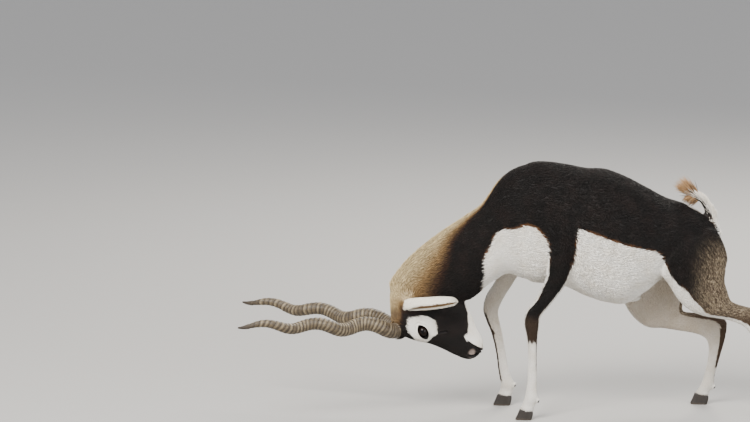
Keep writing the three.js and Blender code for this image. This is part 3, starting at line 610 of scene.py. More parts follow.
# The nape is tan along the crest of the neck, and reaches down its sides by less and less toward the withers.
NAPE_X, NAPE_REACH = [-350, -300, -240, -196, -116, -60, -26], [168, 155, 126, 78, 38, 20, 3]
crest_line = np.column_stack([NECK[::-1, 0], 0 * NECK[:, 0], NECK[::-1, 1]]) + SHIFT
crest, crest_place = along_line(crest_line, points)
steps = np.linalg.norm(np.diff(crest_line, axis=0), axis=1)
evenly = np.linspace(0, 1, 40)
crest_run = np.concatenate([[0], np.cumsum(steps)]) / steps.sum()
crest_x = np.interp(crest_place, evenly, np.interp(evenly, crest_run, crest_line[:, 0]))
nape = np.clip(1 - crest / np.interp(crest_x, NAPE_X, NAPE_REACH), 0, 1) * (x < 0)
nape *= np.where(x < -190, np.maximum(soft(262, 345, sheet), 0.8 * soft(-300, -325, x)), 1)

# Brown fuzz on poll, knees and hocks, pale roots of the ears, and grizzled hair on the buttocks.
fuzz = 0.5 * bell((x, -332, 34), (sheet, 282, 32)) * soft(-262, -290, x)
HOCK_FUZZ, KNEE_FUZZ = {"hind_left": 0.52, "hind_right": 0.6}, 0.44
for name in LEGS:
    here, place = on_leg(name)
    if name in KNEE:
        brown = soft(0.47, 0.58, place) * KNEE_FUZZ
    else:
        brown = soft(0.42, 0.55, place) * soft(0.97, 0.8, place) * HOCK_FUZZ[name]
    fuzz[here] = np.maximum(fuzz[here], brown)
ear_root = bell((x, -298, 20), (sheet, 334, 15)) * soft(20, 40, aside)
grizzle = soft(515, 612, x + (483 - sheet) * 0.1) * soft(532, 425, sheet) * soft(262, 300, sheet)
grizzle = np.where(is_form["hind_left"] | is_form["trunk"], grizzle * soft(-10, -40, y), 0)
here, place = on_leg("hind_right")
grizzle[here] = soft(0.2, 0.4, place) * soft(0.6, 0.48, place) * soft(0.1, -0.7, np.sin(turn[here]))
grizzle = relax(grizzle, edges, 30)

# The inner sides of the right legs carry painted shade over their white, and where black meets white on the body
# there is a brown rim.
# tan: how much painted shade lies on the inner sides of the right legs, white hair darkened to a greyish tan.
tan = np.zeros(len(points))
for name, strength in (("fore_right", 0.55), ("hind_right", 0.9)):
    here, place = on_leg(name)
    tan[here] = strength * soft(0.1, -0.5, np.cos(turn[here])) * soft(0.95, 0.55, place)
tan = relax(tan, edges, 12)
rim = np.where(is_form["trunk"] | is_form["neck"], 1.0, 0.3) * soft(250, 400, z)
rim = relax(np.where(is_form["head"] | is_form["tail"], 0.0, rim), edges, 8)

# Bare dark skin edges the lids, glands, nostrils, lips and muzzle, and the dew claws are bare horn.
u, v, across = head_place(points)
across = np.abs(across)
bare = bell((np.clip(almond, 0, 99), 0, 1.7))
bare = np.maximum(bare, np.where(across > 20, bell((gland, 0, 3.0)), 0))
bare = np.maximum(bare, np.where(at_nostril, np.exp(-((nostril / 4.2) ** 4)), 0))
bare = np.maximum(bare, np.where(near_lips, forward * bell((mouth, 0, 2.0)), 0))
bare = np.maximum(bare, bell((u, 243, 13), (v, 5, 9), (across, 0, 8)))
lip = bell((u, 216, 10), (v, 3, 15)) * is_form["head"] * soft(3, 10, across)
for bx, claw_y, bz in DEWCLAWS:
    dewclaw = np.linalg.norm(points - SHIFT - np.array([bx + 3, claw_y, bz - 5]), axis=1)
    bare = np.maximum(bare, np.exp(-((dewclaw / 6.0) ** 4)))
MARKS = {"white": white, "nape": nape, "ear_root": ear_root, "grizzle": grizzle, "bare": np.clip(bare, 0, 1),
         "lip": lip, "fuzz": fuzz, "rim": rim, "tan": tan}

# The skin lies under the coat by its depth, so that the tufts reach the flesh's own outline.
BODY_DEPTH, LESS_LOW, LESS_ON_HEAD = 2.6, 1.9, 1.5
depth = BODY_DEPTH - LESS_LOW * soft(330, 120, z) - LESS_ON_HEAD * is_form["head"]
coat_depth = np.clip(relax(depth, edges, 12), 0.5, 3)
points -= normals * coat_depth[:, None]
set_skin(points)
normals = skin_normals()


class Reading:
    """A shader value; an expression on readings adds its Math nodes."""

    def __init__(self, finish, socket):
        self.finish, self.socket = finish, socket

    def reckon(self, operation, first, second):
        return self.finish.node("ShaderNodeMath", {"operation": operation}, {0: first, 1: second})

    def __add__(self, other): return self.reckon("ADD", self, other)
    def __sub__(self, other): return self.reckon("SUBTRACT", self, other)
    def __mul__(self, other): return self.reckon("MULTIPLY", self, other)
    def __radd__(self, other): return self.reckon("ADD", self, other)
    def __rsub__(self, other): return self.reckon("SUBTRACT", other, self)
    def __rmul__(self, other): return self.reckon("MULTIPLY", self, other)

    def step(self, low, high):
        """0 at low, 1 at high, smooth between."""
        return self.finish.node("ShaderNodeMapRange", {"interpolation_type": "SMOOTHSTEP"},
                                {"Value": self, "From Min": low, "From Max": high})


class Finish:
    """A material put together node by node."""

    def __init__(self, name):
        self.material = bpy.data.materials.new(name)
        self.material.use_nodes = True
        self.tree = self.material.node_tree
        self.shader = self.tree.nodes["Principled BSDF"]

    def node(self, kind, settings, values, out=0):
        made = self.tree.nodes.new(kind)
        for key, value in settings.items():
            setattr(made, key, value)
        for key, value in values.items():
            self.put(made.inputs[key], value)
        return Reading(self, made.outputs[out])

    def put(self, socket, value):
        if isinstance(value, Reading):
            self.tree.links.new(value.socket, socket)
        elif isinstance(value, tuple) and len(value) == 3 and len(socket.default_value) == 4:
            socket.default_value = (*value, 1)
        else:
            socket.default_value = value

    def mark(self, name):
        return self.node("ShaderNodeAttribute", {"attribute_name": name}, {}, out="Fac")

    def place(self, name):
        return self.node("ShaderNodeAttribute", {"attribute_name": name}, {}, out="Vector")

    def stretched(self, place, by):
        return self.node("ShaderNodeVectorMath", {"operation": "MULTIPLY"}, {0: place, 1: by})

    def noise(self, where, scale, detail, rough):
        return self.node("ShaderNodeTexNoise", {},
                         {"Vector": where, "Scale": scale, "Detail": detail, "Roughness": rough})

    def blend(self, share, a, b, way="MIX"):
        return self.node("ShaderNodeMix", {"data_type": "RGBA", "blend_type": way},
                         {"Factor": share, 6: a, 7: b}, out=2)

    def shaded(self, colour, shade):
        """A colour made darker or lighter by a number."""
        grey = self.node("ShaderNodeCombineXYZ", {}, {0: shade, 1: shade, 2: shade})
        return self.blend(1.0, colour, grey, "MULTIPLY")

    def bump(self, height, distance, strength):
        return self.node("ShaderNodeBump", {}, {"Height": height, "Distance": distance, "Strength": strength})

    def set(self, **sockets):
        for name, value in sockets.items():
            self.put(self.shader.inputs[name.replace("_", " ")], value)
        return self.material


def srgb(r, g, b):
    """A colour read off as 0 to 255, as light."""
    return tuple((c / 255 / 12.92) if c <= 10 else ((c / 255 + 0.055) / 1.055) ** 2.4 for c in (r, g, b))


COAT = {name: srgb(*rgb) for name, rgb in {
    "black": (15, 11, 9), "brown black": (27, 19, 16), "dark nape": (52, 33, 21), "nape": (126, 99, 64),
    "pale nape": (188, 168, 127), "fuzz": (80, 62, 47), "ear root": (188, 167, 131),
    "dark grizzle": (88, 72, 58), "pale grizzle": (172, 155, 128), "rim": (108, 70, 38),
    "white": (244, 240, 232), "cream": (231, 223, 209), "inner leg shade": (168, 148, 122), "lip": (152, 136, 128),
    "bare": (22, 17, 16)}.items()}


def coat_finish(name, tufted):
    """Short hair with little gloss: near-black above, white below, with a brown fringe where they meet."""
    f = Finish(name)
    lie = f.place("lie")
    grain = f.noise(lie, 620.0, 2.0, 0.6)
    cloud = f.noise(lie, 26.0, 3.0, 0.6)
    fringe = f.noise(lie, 210.0, 3.0, 0.7)
    edge = f.mark("white") + (fringe - 0.5) * 7.0
    white = edge.step(-1.2, 1.2)
    rim = edge.step(-9.0, -1.0) * (1.0 - edge.step(0.0, 2.0)) * f.mark("rim") * cloud.step(0.38, 0.6)
    nape = f.mark("nape") + (fringe - 0.5) * 0.22
    speckle = f.mark("grizzle")
    pale_speck = (grain * 0.8 + fringe * 0.2).step(0.44, 0.6)
    colour = f.blend(cloud.step(0.35, 0.75), COAT["black"], COAT["brown black"])
    for share, laid_over in (
            (nape.step(0.06, 0.28), "dark nape"), (nape.step(0.22, 0.5), "nape"),
            (nape.step(0.42, 0.8), "pale nape"), (f.mark("fuzz").step(0.25, 0.6) * 0.9, "fuzz"),
            (f.mark("ear_root").step(0.3, 0.75), "ear root"),
            (speckle * 0.75, "dark grizzle"), (speckle * pale_speck * 0.9, "pale grizzle"), (rim * 0.85, "rim")):
        colour = f.blend(share, colour, COAT[laid_over])
    pale = f.blend(cloud.step(0.3, 0.8), COAT["white"], COAT["cream"])
    # The white of the right legs' inner sides is darkened toward a greyish tan: painted shade.
    pale = f.blend(f.mark("tan") * (0.4 + fringe * 0.6), pale, COAT["inner leg shade"])
    bare = f.mark("bare").step(0.35, 0.7)
    colour = f.blend(white, colour, pale)
    colour = f.blend(f.mark("lip").step(0.2, 0.8) * 0.8, colour, COAT["lip"])
    colour = f.blend(bare, colour, COAT["bare"])
    if tufted:
        # Along each tuft the root is darker and the tip lighter: painted shade among the tufts and a painted sheen
        # on the tips.
        dark_shade = (0.7 + f.mark("shade") * 0.42) * (0.84 + f.mark("tip") * 0.26)
        pale_shade = (0.88 + f.mark("shade") * 0.12) * (0.95 + f.mark("tip") * 0.05)
        shade = dark_shade + (pale_shade - dark_shade) * white
    else:
        shade = 0.62 + grain * 0.4
    rough = 0.6 + (grain - 0.5) * 0.25 + white * 0.15 - bare * 0.2
    f.set(Base_Color=f.shaded(colour, shade), Roughness=rough, Specular_IOR_Level=0.22)
    if not tufted:
        f.set(Normal=f.bump(grain, 0.0006, 0.8))
    return f.material


def mark_mesh(mesh, values):
    """Writes numbers or ways on a mesh's points, by name."""
    for name, value in values.items():
        kind, key = ("FLOAT_VECTOR", "vector") if value.ndim == 2 else ("FLOAT", "value")
        layer = mesh.attributes.new(name, kind, "POINT")
        layer.data.foreach_set(key, np.ascontiguousarray(value, float).ravel())


MARKS["lie"] = points / 1000
mark_mesh(whole, MARKS)
whole.name = "blackbuck_skin"
skin = bpy.data.objects.new("blackbuck_skin", whole)
bpy.context.scene.collection.objects.link(skin)
whole.polygons.foreach_set("use_smooth", [True] * len(whole.polygons))
whole.materials.clear()
whole.materials.append(coat_finish("coat_skin", False))
FLESH_NODES = ["torso", "neck", "head", "tail", "ear_left", "ear_right"]
for side in ("left", "right"):
    FLESH_NODES += [f"foreleg_{side}_upper", f"foreleg_{side}_lower"]
    FLESH_NODES += [f"hindleg_{side}_{piece}" for piece in ("thigh", "shank", "lower")]
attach(skin, "root")
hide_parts(*FLESH_NODES)


# The coat: short hairs that lie flat in small tufts over the skin, longest on the nape, shortest on face and feet.
# Each tuft is a thin three-sided spear, sunk a little at its root and drawn to a point along the lie of the hair.
ROOT_SUNK, PATCH_HALF = 0.8, 0.0015


def patches_at(across, up):
    """The middles of the tufts' patches in the unwrap, kept a little off its edges."""
    return np.stack([across, up], -1) * 0.98 + 0.01


def square_to(way, hint):
    """A unit vector near the hint and square to the way."""
    return unit(hint - way * np.einsum("ij,ij->i", hint, way)[:, None])


def spears(name, root, way, out, long, wide, rise, values, patch, bend=None, rings=2):
    """Many tufts as one mesh, each with its root's marks and its own small patch of the unwrap."""
    n, per = len(root), rings * 3 + 1
    side = np.cross(out, way)
    places = np.arange(rings) / rings
    spots = np.empty((n, per, 3))
    flat = np.empty((per, 2))
    for k, s in enumerate(places):
        lifted = rise * s**0.8 - (ROOT_SUNK if k == 0 else 0.0)
        middle = root + way * (long * s)[:, None] + out * lifted[:, None]
        middle = middle if bend is None else middle + bend * s * s
        half = (wide * 0.5 * (0.75 + 1.2 * s - 1.95 * s * s))[:, None]
        spots[:, 3 * k] = middle - side * half
        spots[:, 3 * k + 1] = middle + side * half
        spots[:, 3 * k + 2] = middle + out * half * 0.55
        flat[3 * k:3 * k + 3] = [(-1, s), (1, s), (0, s + 0.1)]
    spots[:, -1] = root + way * long[:, None] + out * rise[:, None] + (0 if bend is None else bend)
    flat[-1] = (0, 1)
    corners = [(0, 2, 1)]
    for k in range(rings):
        for i, j in ((0, 1), (1, 2), (2, 0)):
            a, b = 3 * k + i, 3 * k + j
            corners += [(a, b, b + 3), (a, b + 3, a + 3)] if k < rings - 1 else [(a, b, per - 1)]
    corners = (np.array(corners)[None] + (np.arange(n) * per)[:, None, None]).reshape(-1, 3)
    mesh = bpy.data.meshes.new(name)
    mesh.vertices.add(n * per)
    mesh.vertices.foreach_set("co", (spots / 1000).ravel())
    mesh.loops.add(corners.size)
    mesh.loops.foreach_set("vertex_index", corners.ravel())
    mesh.polygons.add(len(corners))
    mesh.polygons.foreach_set("loop_start", np.arange(len(corners)) * 3)
    mesh.polygons.foreach_set("use_smooth", [True] * len(corners))
    mesh.update(calc_edges=True)
    spread = patch[:, None] + (flat * [1, 2] - [0, 1]) * PATCH_HALF
    unwrap = mesh.uv_layers.new(name="OFBake")
    unwrap.data.foreach_set("uv", spread.reshape(-1, 2)[corners.ravel()].ravel())
    values = {key: np.repeat(value, per, axis=0) for key, value in values.items()}
    values["tip"] = np.tile(np.append(np.repeat(places, 3), 1.0), n)
    mark_mesh(mesh, values)
    made = bpy.data.objects.new(name, mesh)
    bpy.context.scene.collection.objects.link(made)
    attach(made, "root")
    return made


HEAD_HAIR = [-40, 20, 80, 150, 240], [12, 8, 6, 4.5, 3]
LEG_HAIR = [0, 0.25, 0.55, 0.95], [14, 11, 7.5, 5.0]
hair_long = np.select(
    [is_form["head"], is_form["neck"], is_form["tail"], is_form["trunk"]],
    [np.interp(head_place(points)[0], *HEAD_HAIR), 13 + 8 * nape, 10.0, 15.0], np.interp(place_on_form, *LEG_HAIR))
hair_long = relax(hair_long, edges, 30)
hair_wide = 0.8 + 0.13 * hair_long

# No tuft stands on bare skin, in the mouth, in the eye, under a foot or where a hoof or a horn begins.
coronet = np.full(len(points), 99.0)
px, py, pz = (points - SHIFT).T
for ax, az, bx, bz, y0, _ in (rows[-1] for rows in LEGS.values()):
    at_foot = (np.hypot(px - (ax + bx) / 2, py - y0) < 45) & (pz < 70)
    coronet = np.where(at_foot, pz - bz - (az - bz) * (px - bx) / (ax - bx), coronet)
horn_near = np.full(len(points), 99.0)
for side in (-1, 1):
    horn_middle = horn_line(side)(np.linspace(-0.05, 0.12, 18), np.full(18, 0.1), 3).mean(1)
    horn_near = np.minimum(horn_near, along_line(horn_middle, points)[0] - 24)
in_mouth = near_lips & (mouth < 3.2) & (mouth_place > 0.1)
under_foot = (normals[:, 2] < -0.6) & (z < 45)
free = (bare < 0.45) & (almond > 2.9) & ~in_mouth & ~under_foot & (coronet > 0.2) & (horn_near > -1.5)
at_horn = soft(14, 0, horn_near)

# Roots are drawn over the skin's triangles, closer together where the hair is short.
whole.calc_loop_triangles()
corner = rows_of(whole.loop_triangles, "vertices", 3, int)
one, two, three = (points[corner[:, k]] for k in range(3))
area = np.linalg.norm(np.cross(two - one, three - one), axis=1) / 2
wanted = area * (free[corner].all(axis=1)) / (hair_long * hair_wide)[corner].mean(axis=1) ** 0.85
TUFTS = 128000
rng = np.random.default_rng(21)
wanted = np.cumsum(wanted)
picked = np.searchsorted(wanted, (np.arange(TUFTS) + rng.random(TUFTS)) / TUFTS * wanted[-1])
at = corner[np.clip(picked, 0, len(corner) - 1)]
share = np.sqrt(rng.random(TUFTS))
second = rng.random(TUFTS)
share = np.stack([1 - share, share * (1 - second), share * second], -1)


def at_roots(value):
    """A value of the skin read at each tuft's root."""
    return np.einsum("ij,ij...->i...", share, value[at])


# The hair lies along its form, turns down round the horns, and sways from place to place and tuft to tuft.
root, out, lay = at_roots(points), unit(at_roots(normals)), at_roots(way)
grip = at_roots(at_horn)[:, None]
lay = lay * (1 - grip) + (out * 0.5 + np.array([-1.0, 0, 0.05])) * grip
lay = square_to(out, lay)
sway = rng.normal(0, 0.11, TUFTS) + 0.12 * np.sin(root[:, 0] / 23 + root[:, 2] / 31) * np.sin(root[:, 1] / 19 + 1)
lay = lay * np.cos(sway)[:, None] + np.cross(out, lay) * np.sin(sway)[:, None]
long = at_roots(hair_long) * rng.uniform(0.75, 1.2, TUFTS) + 5 * grip[:, 0]
wide = at_roots(hair_wide) * rng.uniform(0.8, 1.2, TUFTS)
rise = at_roots(coat_depth) * rng.uniform(0.55, 1.05, TUFTS)
rise = rise + at_roots(nape) * rng.uniform(0, 2.5, TUFTS) + 3 * grip[:, 0]
over_hoof = soft(8, 1, at_roots(coronet))
long, rise = long + 2.5 * over_hoof, rise + 1.1 * over_hoof
tips = np.stack(head_place(root + lay * long[:, None]), -1)
long[eye_gap(tips) < 1.2] *= 0.3
rooted = {name: at_roots(value) for name, value in MARKS.items()}
rooted["shade"] = rng.random(TUFTS)

# The pieces follow the forms and are cut across them. A tuft's patch of the unwrap lies where it stands on
# its form: how far along it, and how far round.
MOST_TUFTS = 19000
hair_way = np.array([FLESH[name][4] for name in FLESH])
main = at[np.arange(TUFTS), share.argmax(1)]
off = root - points[main]
along_root = along[main] + np.einsum("ij,ij->i", off, way[main]) * hair_way[form[main]]
round_root = np.einsum("ij,ij->i", off, np.cross(out, way[main])) / (2 * np.pi * radius_there[main])
turn_root = turn[main] / (2 * np.pi) + round_root
coat_hair = coat_finish("coat_hair", True)
for k, name in enumerate(FLESH):
    mine = np.flatnonzero(form[main] == k)
    mine = mine[np.argsort(along_root[mine])]
    for part, chosen in enumerate(np.array_split(mine, max(1, math.ceil(len(mine) / MOST_TUFTS)))):
        run = along_root[chosen]
        patch = patches_at((run - run.min()) / (np.ptp(run) + 1e-6), turn_root[chosen] % 1)
        marks = {key: value[chosen] for key, value in rooted.items()}
        piece = spears(f"coat_{name}_{part + 1}", root[chosen], lay[chosen], out[chosen], long[chosen],
                       wide[chosen], rise[chosen], marks, patch)
        piece.data.materials.append(coat_hair)


# Tail: a thin dock of bone and skin, part of the skin above, carried up. Its own long hairs are set on it:
# a white fringe along its rear side, and a loose tan tuft at its end that falls open over the rump in three locks.
TUFT_HAIRS, FRINGE_HAIRS = 1000, 1500
LOCK_SHARE, LOCK_ANGLE, LOCK_LONG = np.array([[0.42, 0.33, 0.25], [121.0, 146.0, 224.0], [64.0, 60.0, 36.0]])
tail_middle = forms["tail"][0].mean(1)
tail_run = np.linspace(0, 1, len(tail_middle))
rng = np.random.default_rng(31)


def on_tail(s):
    """Places on the tail's middle line and the way it runs there."""
    place, ahead, back = (np.stack([np.interp(s + step, tail_run, tail_middle[:, k]) for k in range(3)], -1)
                          for step in (0, 0.03, -0.03))
    return place, unit(ahead - back)


s = rng.uniform(0.4, 1.0, TUFT_HAIRS) ** 0.4
lock = rng.choice(3, TUFT_HAIRS, p=LOCK_SHARE)
angle = np.radians(LOCK_ANGLE[lock] + rng.normal(0, 8.5, TUFT_HAIRS))
tuft_way = unit(np.stack([np.cos(angle), rng.normal(0, 0.2, TUFT_HAIRS), np.sin(angle)], -1))
tuft_out = square_to(tuft_way, rng.normal(0, 1, (TUFT_HAIRS, 3)))
tuft_long = LOCK_LONG[lock] * rng.uniform(0.6, 1.0, TUFT_HAIRS)
droop = np.stack([-0.1 * tuft_long, 0 * tuft_long, -0.05 * tuft_long], -1)
tuft_tone = np.clip(rng.normal(0.42, 0.13, TUFT_HAIRS), 0.2, 0.75)
tuft_tone = np.where((s < 0.8) & (rng.random(TUFT_HAIRS) < 0.35), 0.05, tuft_tone)
fringe_s = rng.uniform(0.05, 1.0, FRINGE_HAIRS)
fringe_place, run = on_tail(fringe_s)
rear = square_to(run, np.array([1.0, 0, 0.5]) + rng.normal(0, 0.6, (FRINGE_HAIRS, 3)))
fringe_way = unit(run * 0.9 + rear * 0.32)
fringe_place = fringe_place + rear * np.interp(fringe_s, [0, 1], [13, 6])[:, None] * 0.75
fringe_long = rng.uniform(15, 27, FRINGE_HAIRS)
fringe_tone = np.clip(0.9 + rng.normal(0, 0.07, FRINGE_HAIRS), 0.6, 1.0)
turns = rng.random(TUFT_HAIRS + FRINGE_HAIRS)
tuft_place = on_tail(s)[0] + tuft_out * rng.uniform(0, 6, TUFT_HAIRS)[:, None]
wide = np.concatenate([rng.uniform(1.1, 2.3, TUFT_HAIRS), rng.uniform(1.6, 2.8, FRINGE_HAIRS)])
rise = np.concatenate([rng.uniform(0, 3, TUFT_HAIRS), rng.uniform(0, 2, FRINGE_HAIRS)])
shade = rng.random(TUFT_HAIRS + FRINGE_HAIRS)
place, way, out, long, tone, s, bend = (np.concatenate(both) for both in zip(
    (tuft_place, tuft_way, tuft_out, tuft_long, tuft_tone, s, droop),
    (fringe_place, fringe_way, square_to(fringe_way, rear), fringe_long, fringe_tone, fringe_s, 0 * fringe_way)))
tail_hair = spears("tail_hair", place, way, out, long, wide, rise, {"tone": tone, "shade": shade},
                   patches_at(s, turns), bend, rings=4)
f = Finish("tail_hair")
tone = f.mark("tone")
colour = f.blend(tone.step(0.12, 0.24), srgb(40, 28, 21), srgb(150, 112, 72))
colour = f.blend(tone.step(0.3, 0.6), colour, srgb(186, 150, 106))
colour = f.blend(tone.step(0.62, 0.88), colour, srgb(232, 226, 214))
# Each hair is darker at its root and lighter at its tip: painted shade among the hairs and a painted sheen on the
# tips.
colour = f.shaded(colour, (0.72 + f.mark("shade") * 0.4) * (0.8 + f.mark("tip") * 0.3))
tail_hair.data.materials.append(f.set(Base_Color=colour, Roughness=0.65 + (f.mark("shade") - 0.5) * 0.2))


# Ears: thin leaves of gristle folded into a cup, haired cream outside and along the rims; within, tan as painted
# shade in the cup.
# A row is [place along it, half width, half height, turn of the outer wall, turn of the wall beside the head].
EAR = np.array([[-0.06, 10, 12, 2.95, 2.95], [0.06, 12, 15, 2.8, 2.9], [0.2, 13.5, 18.3, 2.3, 2.75],
                [0.4, 14, 19.5, 1.9, 2.6], [0.6, 13.5, 19.5, 1.8, 2.5], [0.78, 12, 18, 1.7, 2.4],
                [0.92, 9, 14, 1.55, 2.2], [1, 4, 6.5, 1.3, 1.8]])
EAR_LINE = np.array([[-312, 36, 323], [-280, 63, 330.5], [-240, 78, 335], [-198, 88, 340], [-155, 94, 344]], float)
EAR_LONG, EAR_WALL, EAR_TURN, EAR_STEPS, EAR_ACROSS = 150, 2.6, 1.3, 60, 34
BACK_HAIRS, RIM_HAIRS, LINING_HAIRS = 3000, 420, 900


def ear_rings(side):
    """Loops round the folded leaf: the outside from edge to edge, then the inside back."""
    rows = between(EAR, np.linspace(0, len(EAR) - 1, EAR_STEPS))
    middle = EAR_LINE * [1, side, 1] + SHIFT
    spans = len(EAR_LINE) - 1
    loops = []
    for t, half, rise, outer, beside in rows:
        place = min(max(t, 0), 1) * spans
        ends = between(middle, np.array([max(place - 0.05, 0), min(place + 0.05, spans)]))
        along = (ends[1] - ends[0]) / np.linalg.norm(ends[1] - ends[0])
        centre = between(middle, np.array([place]))[0] + along * (t - place / spans) * EAR_LONG
        opening = np.array([0, side * math.cos(EAR_TURN), -math.sin(EAR_TURN)])
        opening -= along * (opening @ along)
        opening /= np.linalg.norm(opening)
        over = np.cross(along, opening) * -side
        angle = np.linspace(-outer, beside, EAR_ACROSS)
        half, rise = half - 0.5, rise - 0.5
        wall = min(EAR_WALL, half * 0.4)
        loops.append(np.vstack([
            centre + over * (h * np.sin(angles))[:, None] - opening * (d * np.cos(angles))[:, None]
            for h, d, angles in ((half, rise, angle), (half - wall, rise - wall, angle[::-1]))]))
    return np.array(loops)


def on_sheet(grid, t, a):
    """Places on a grid of points at shares t and a of its rows and columns, with the ways along and across it."""
    rows, columns = grid.shape[0] - 1, grid.shape[1] - 1
    i, j = t * rows, a * columns
    i0, j0 = np.clip(i.astype(int), 0, rows - 1), np.clip(j.astype(int), 0, columns - 1)
    fi, fj = (i - i0)[:, None], (j - j0)[:, None]
    here, next_row, next_column, beyond = grid[i0, j0], grid[i0 + 1, j0], grid[i0, j0 + 1], grid[i0 + 1, j0 + 1]
    along = (next_row - here) * (1 - fj) + (beyond - next_column) * fj
    across = (next_column - here) * (1 - fi) + (beyond - next_row) * fi
    return here + (next_row - here) * fi + across * fj, unit(along), unit(across)


def out_of_ear(rings, t, place, run, over):
    """The way square to the leaf that points away from the middle of its cup."""
    out = np.cross(over, run)
    from_cup = place - rings[(t * (EAR_STEPS - 1)).astype(int)].mean(1)
    return out * np.sign(np.einsum("ij,ij->i", out, from_cup))[:, None]


def ear_finish(name, tufted):
    """Cream to tan by the tone of the hair, over skin of the same colours; the tan inside the cup is painted
    shade.
    """
    f = Finish(name)
    grain = f.noise(f.place("lie"), 700.0, 3.0, 0.6)
    tone = f.mark("tone") + (grain - 0.5) * 0.2
    colour = f.blend(tone.step(0.1, 0.4), srgb(150, 118, 80), srgb(190, 158, 116))
    colour = f.blend(tone.step(0.45, 0.8), colour, srgb(240, 233, 217))
    colour = f.shaded(colour, 0.84 + f.mark("shade") * 0.2 if tufted else 0.8 + grain * 0.25)
    f.set(Base_Color=colour, Roughness=0.7 + (grain - 0.5) * 0.2, Specular_IOR_Level=0.3)
    if not tufted:
        f.set(Normal=f.bump(grain, 0.0005, 0.8))
    return f.material


ear_skin, ear_hair = ear_finish("ear_skin", False), ear_finish("ear_hair", True)
for side, word in ((-1, "left"), (1, "right")):
    rings = ear_rings(side)
    p, faces = tube(rings)
    ear = mesh_object(f"ear_{word}_leaf", p / 1000, faces)
    turn_in = np.linspace(0, 1, EAR_ACROSS)
    # The lining is tan as painted shade deep in the cup, and cream at its rims and toward the tip.
    shaded_lining_tone = 0.12 + 0.85 * np.maximum(soft(0.9, 0.98, turn_in), soft(0.06, 0.01, turn_in))
    shaded_lining_tone = np.clip(shaded_lining_tone[None] + 0.5 * soft(0.86, 1.0, np.linspace(0, 1, EAR_STEPS))[:, None], 0, 1)
    tone = np.hstack([np.ones((EAR_STEPS, EAR_ACROSS)), shaded_lining_tone[:, ::-1]])
    mark_mesh(ear.data, {"tone": tone.ravel(), "lie": p / 1000})
    ear.data.materials.append(ear_skin)
    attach(ear, "root")
    rng = np.random.default_rng(41 + side)
    outer_sheet, inner_sheet = rings[:, :EAR_ACROSS], rings[:, EAR_ACROSS:][:, ::-1]
    pieces = []
    t, a = rng.uniform(0.02, 0.985, BACK_HAIRS), rng.random(BACK_HAIRS)
    place, run, over = on_sheet(outer_sheet, t, a)
    out = out_of_ear(rings, t, place, run, over)
    pieces.append((place, run, out, rng.uniform(4, 7, BACK_HAIRS), rng.uniform(1.2, 1.8, BACK_HAIRS),
                   rng.uniform(0.3, 0.9, BACK_HAIRS), np.ones(BACK_HAIRS), t, a))
    t, edge = rng.uniform(0.08, 1.0, RIM_HAIRS), rng.integers(0, 2, RIM_HAIRS)
    place, run, over = on_sheet(outer_sheet, t, edge.astype(float))
    lean = over * np.where(edge == 1, 1, -1)[:, None]
    edge_way = unit(run * 0.85 + lean * 0.5)
    pieces.append((place - lean, edge_way, square_to(edge_way, np.cross(lean, run)), rng.uniform(5, 9, RIM_HAIRS),
                   rng.uniform(1.1, 1.6, RIM_HAIRS), rng.uniform(0, 0.6, RIM_HAIRS), np.ones(RIM_HAIRS),
                   t, edge * 0.98))
    t, a = rng.uniform(0.1, 0.95, LINING_HAIRS), rng.uniform(0.04, 0.97, LINING_HAIRS)
    place, run, over = on_sheet(inner_sheet, t, a)
    out = -out_of_ear(rings, t, place, run, over)
    # The lining hairs take the lining's tone, tan as painted shade deep in the cup.
    shaded_lining_hair_tone = shaded_lining_tone[(t * (EAR_STEPS - 1)).astype(int), (a * (EAR_ACROSS - 1)).astype(int)]
    pieces.append((place, run, out, rng.uniform(4, 9, LINING_HAIRS), rng.uniform(0.9, 1.4, LINING_HAIRS),
                   rng.uniform(0.5, 2.0, LINING_HAIRS), shaded_lining_hair_tone, t, a))
    place, run, out, long, wide, rise, tone, t, a = (np.concatenate(column) for column in zip(*pieces))
    marks = {"tone": tone, "shade": rng.random(len(t)), "lie": place / 1000}
    hair = spears(f"ear_{word}_hair", place, run, out, long, wide, rise, marks, patches_at(t, a))
    hair.data.materials.append(ear_hair)


# Eyes: large dark balls under a clear cornea, glass on a museum's model, set deep behind the lids.
# The front bulges a little, and the long pupil lies along the opening of the lids.
CORNEA_BULGE, PUPIL_LONG, PUPIL_TALL = 0.045, 0.36, 0.2
LID_WAY = LID_LONG[0] * HEAD_ALONG + LID_LONG[1] * FACEWARD
for side, word in ((-1, "left"), (1, "right")):
    gaze = np.array([-0.12, side * 0.97, 0.05])
    gaze /= np.linalg.norm(gaze)
    p, faces = tube(egg(np.zeros(3), [1, 1, 1], 0, 64))
    facing = p @ gaze
    radius = EYE_RADIUS * (1 + CORNEA_BULGE * np.clip((facing - 0.72) / 0.28, 0, 1) ** 1.5)
    eye = mesh_object(f"eyeball_{word}", (on_head(*EYE_AT, side * EYE_SIDE) + p * radius[:, None]) / 1000, faces)
    flat = p - facing[:, None] * gaze
    wide = flat @ LID_WAY
    tall = np.sqrt(np.clip((flat ** 2).sum(1) - wide ** 2, 0, None))
    mark_mesh(eye.data, {"facing": facing, "pupil": np.hypot(wide / PUPIL_LONG, tall / PUPIL_TALL), "lie": p})
    f = Finish(f"eye_{word}")
    fibres = f.noise(f.place("lie"), 9.0, 4.0, 0.6)
    iris = f.blend(fibres.step(0.3, 0.7), srgb(13, 8, 6), srgb(25, 15, 9))
    colour = f.blend(f.mark("pupil").step(1.0, 1.25), srgb(6, 5, 6), iris)
    colour = f.blend(f.mark("facing").step(0.74, 0.68), colour, srgb(9, 7, 6))
    eye.data.materials.append(f.set(Base_Color=colour, Roughness=0.05 + (fibres - 0.5) * 0.03,
                                    Specular_IOR_Level=0.14))
    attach(eye, "root")
    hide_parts(f"eye_{word}")


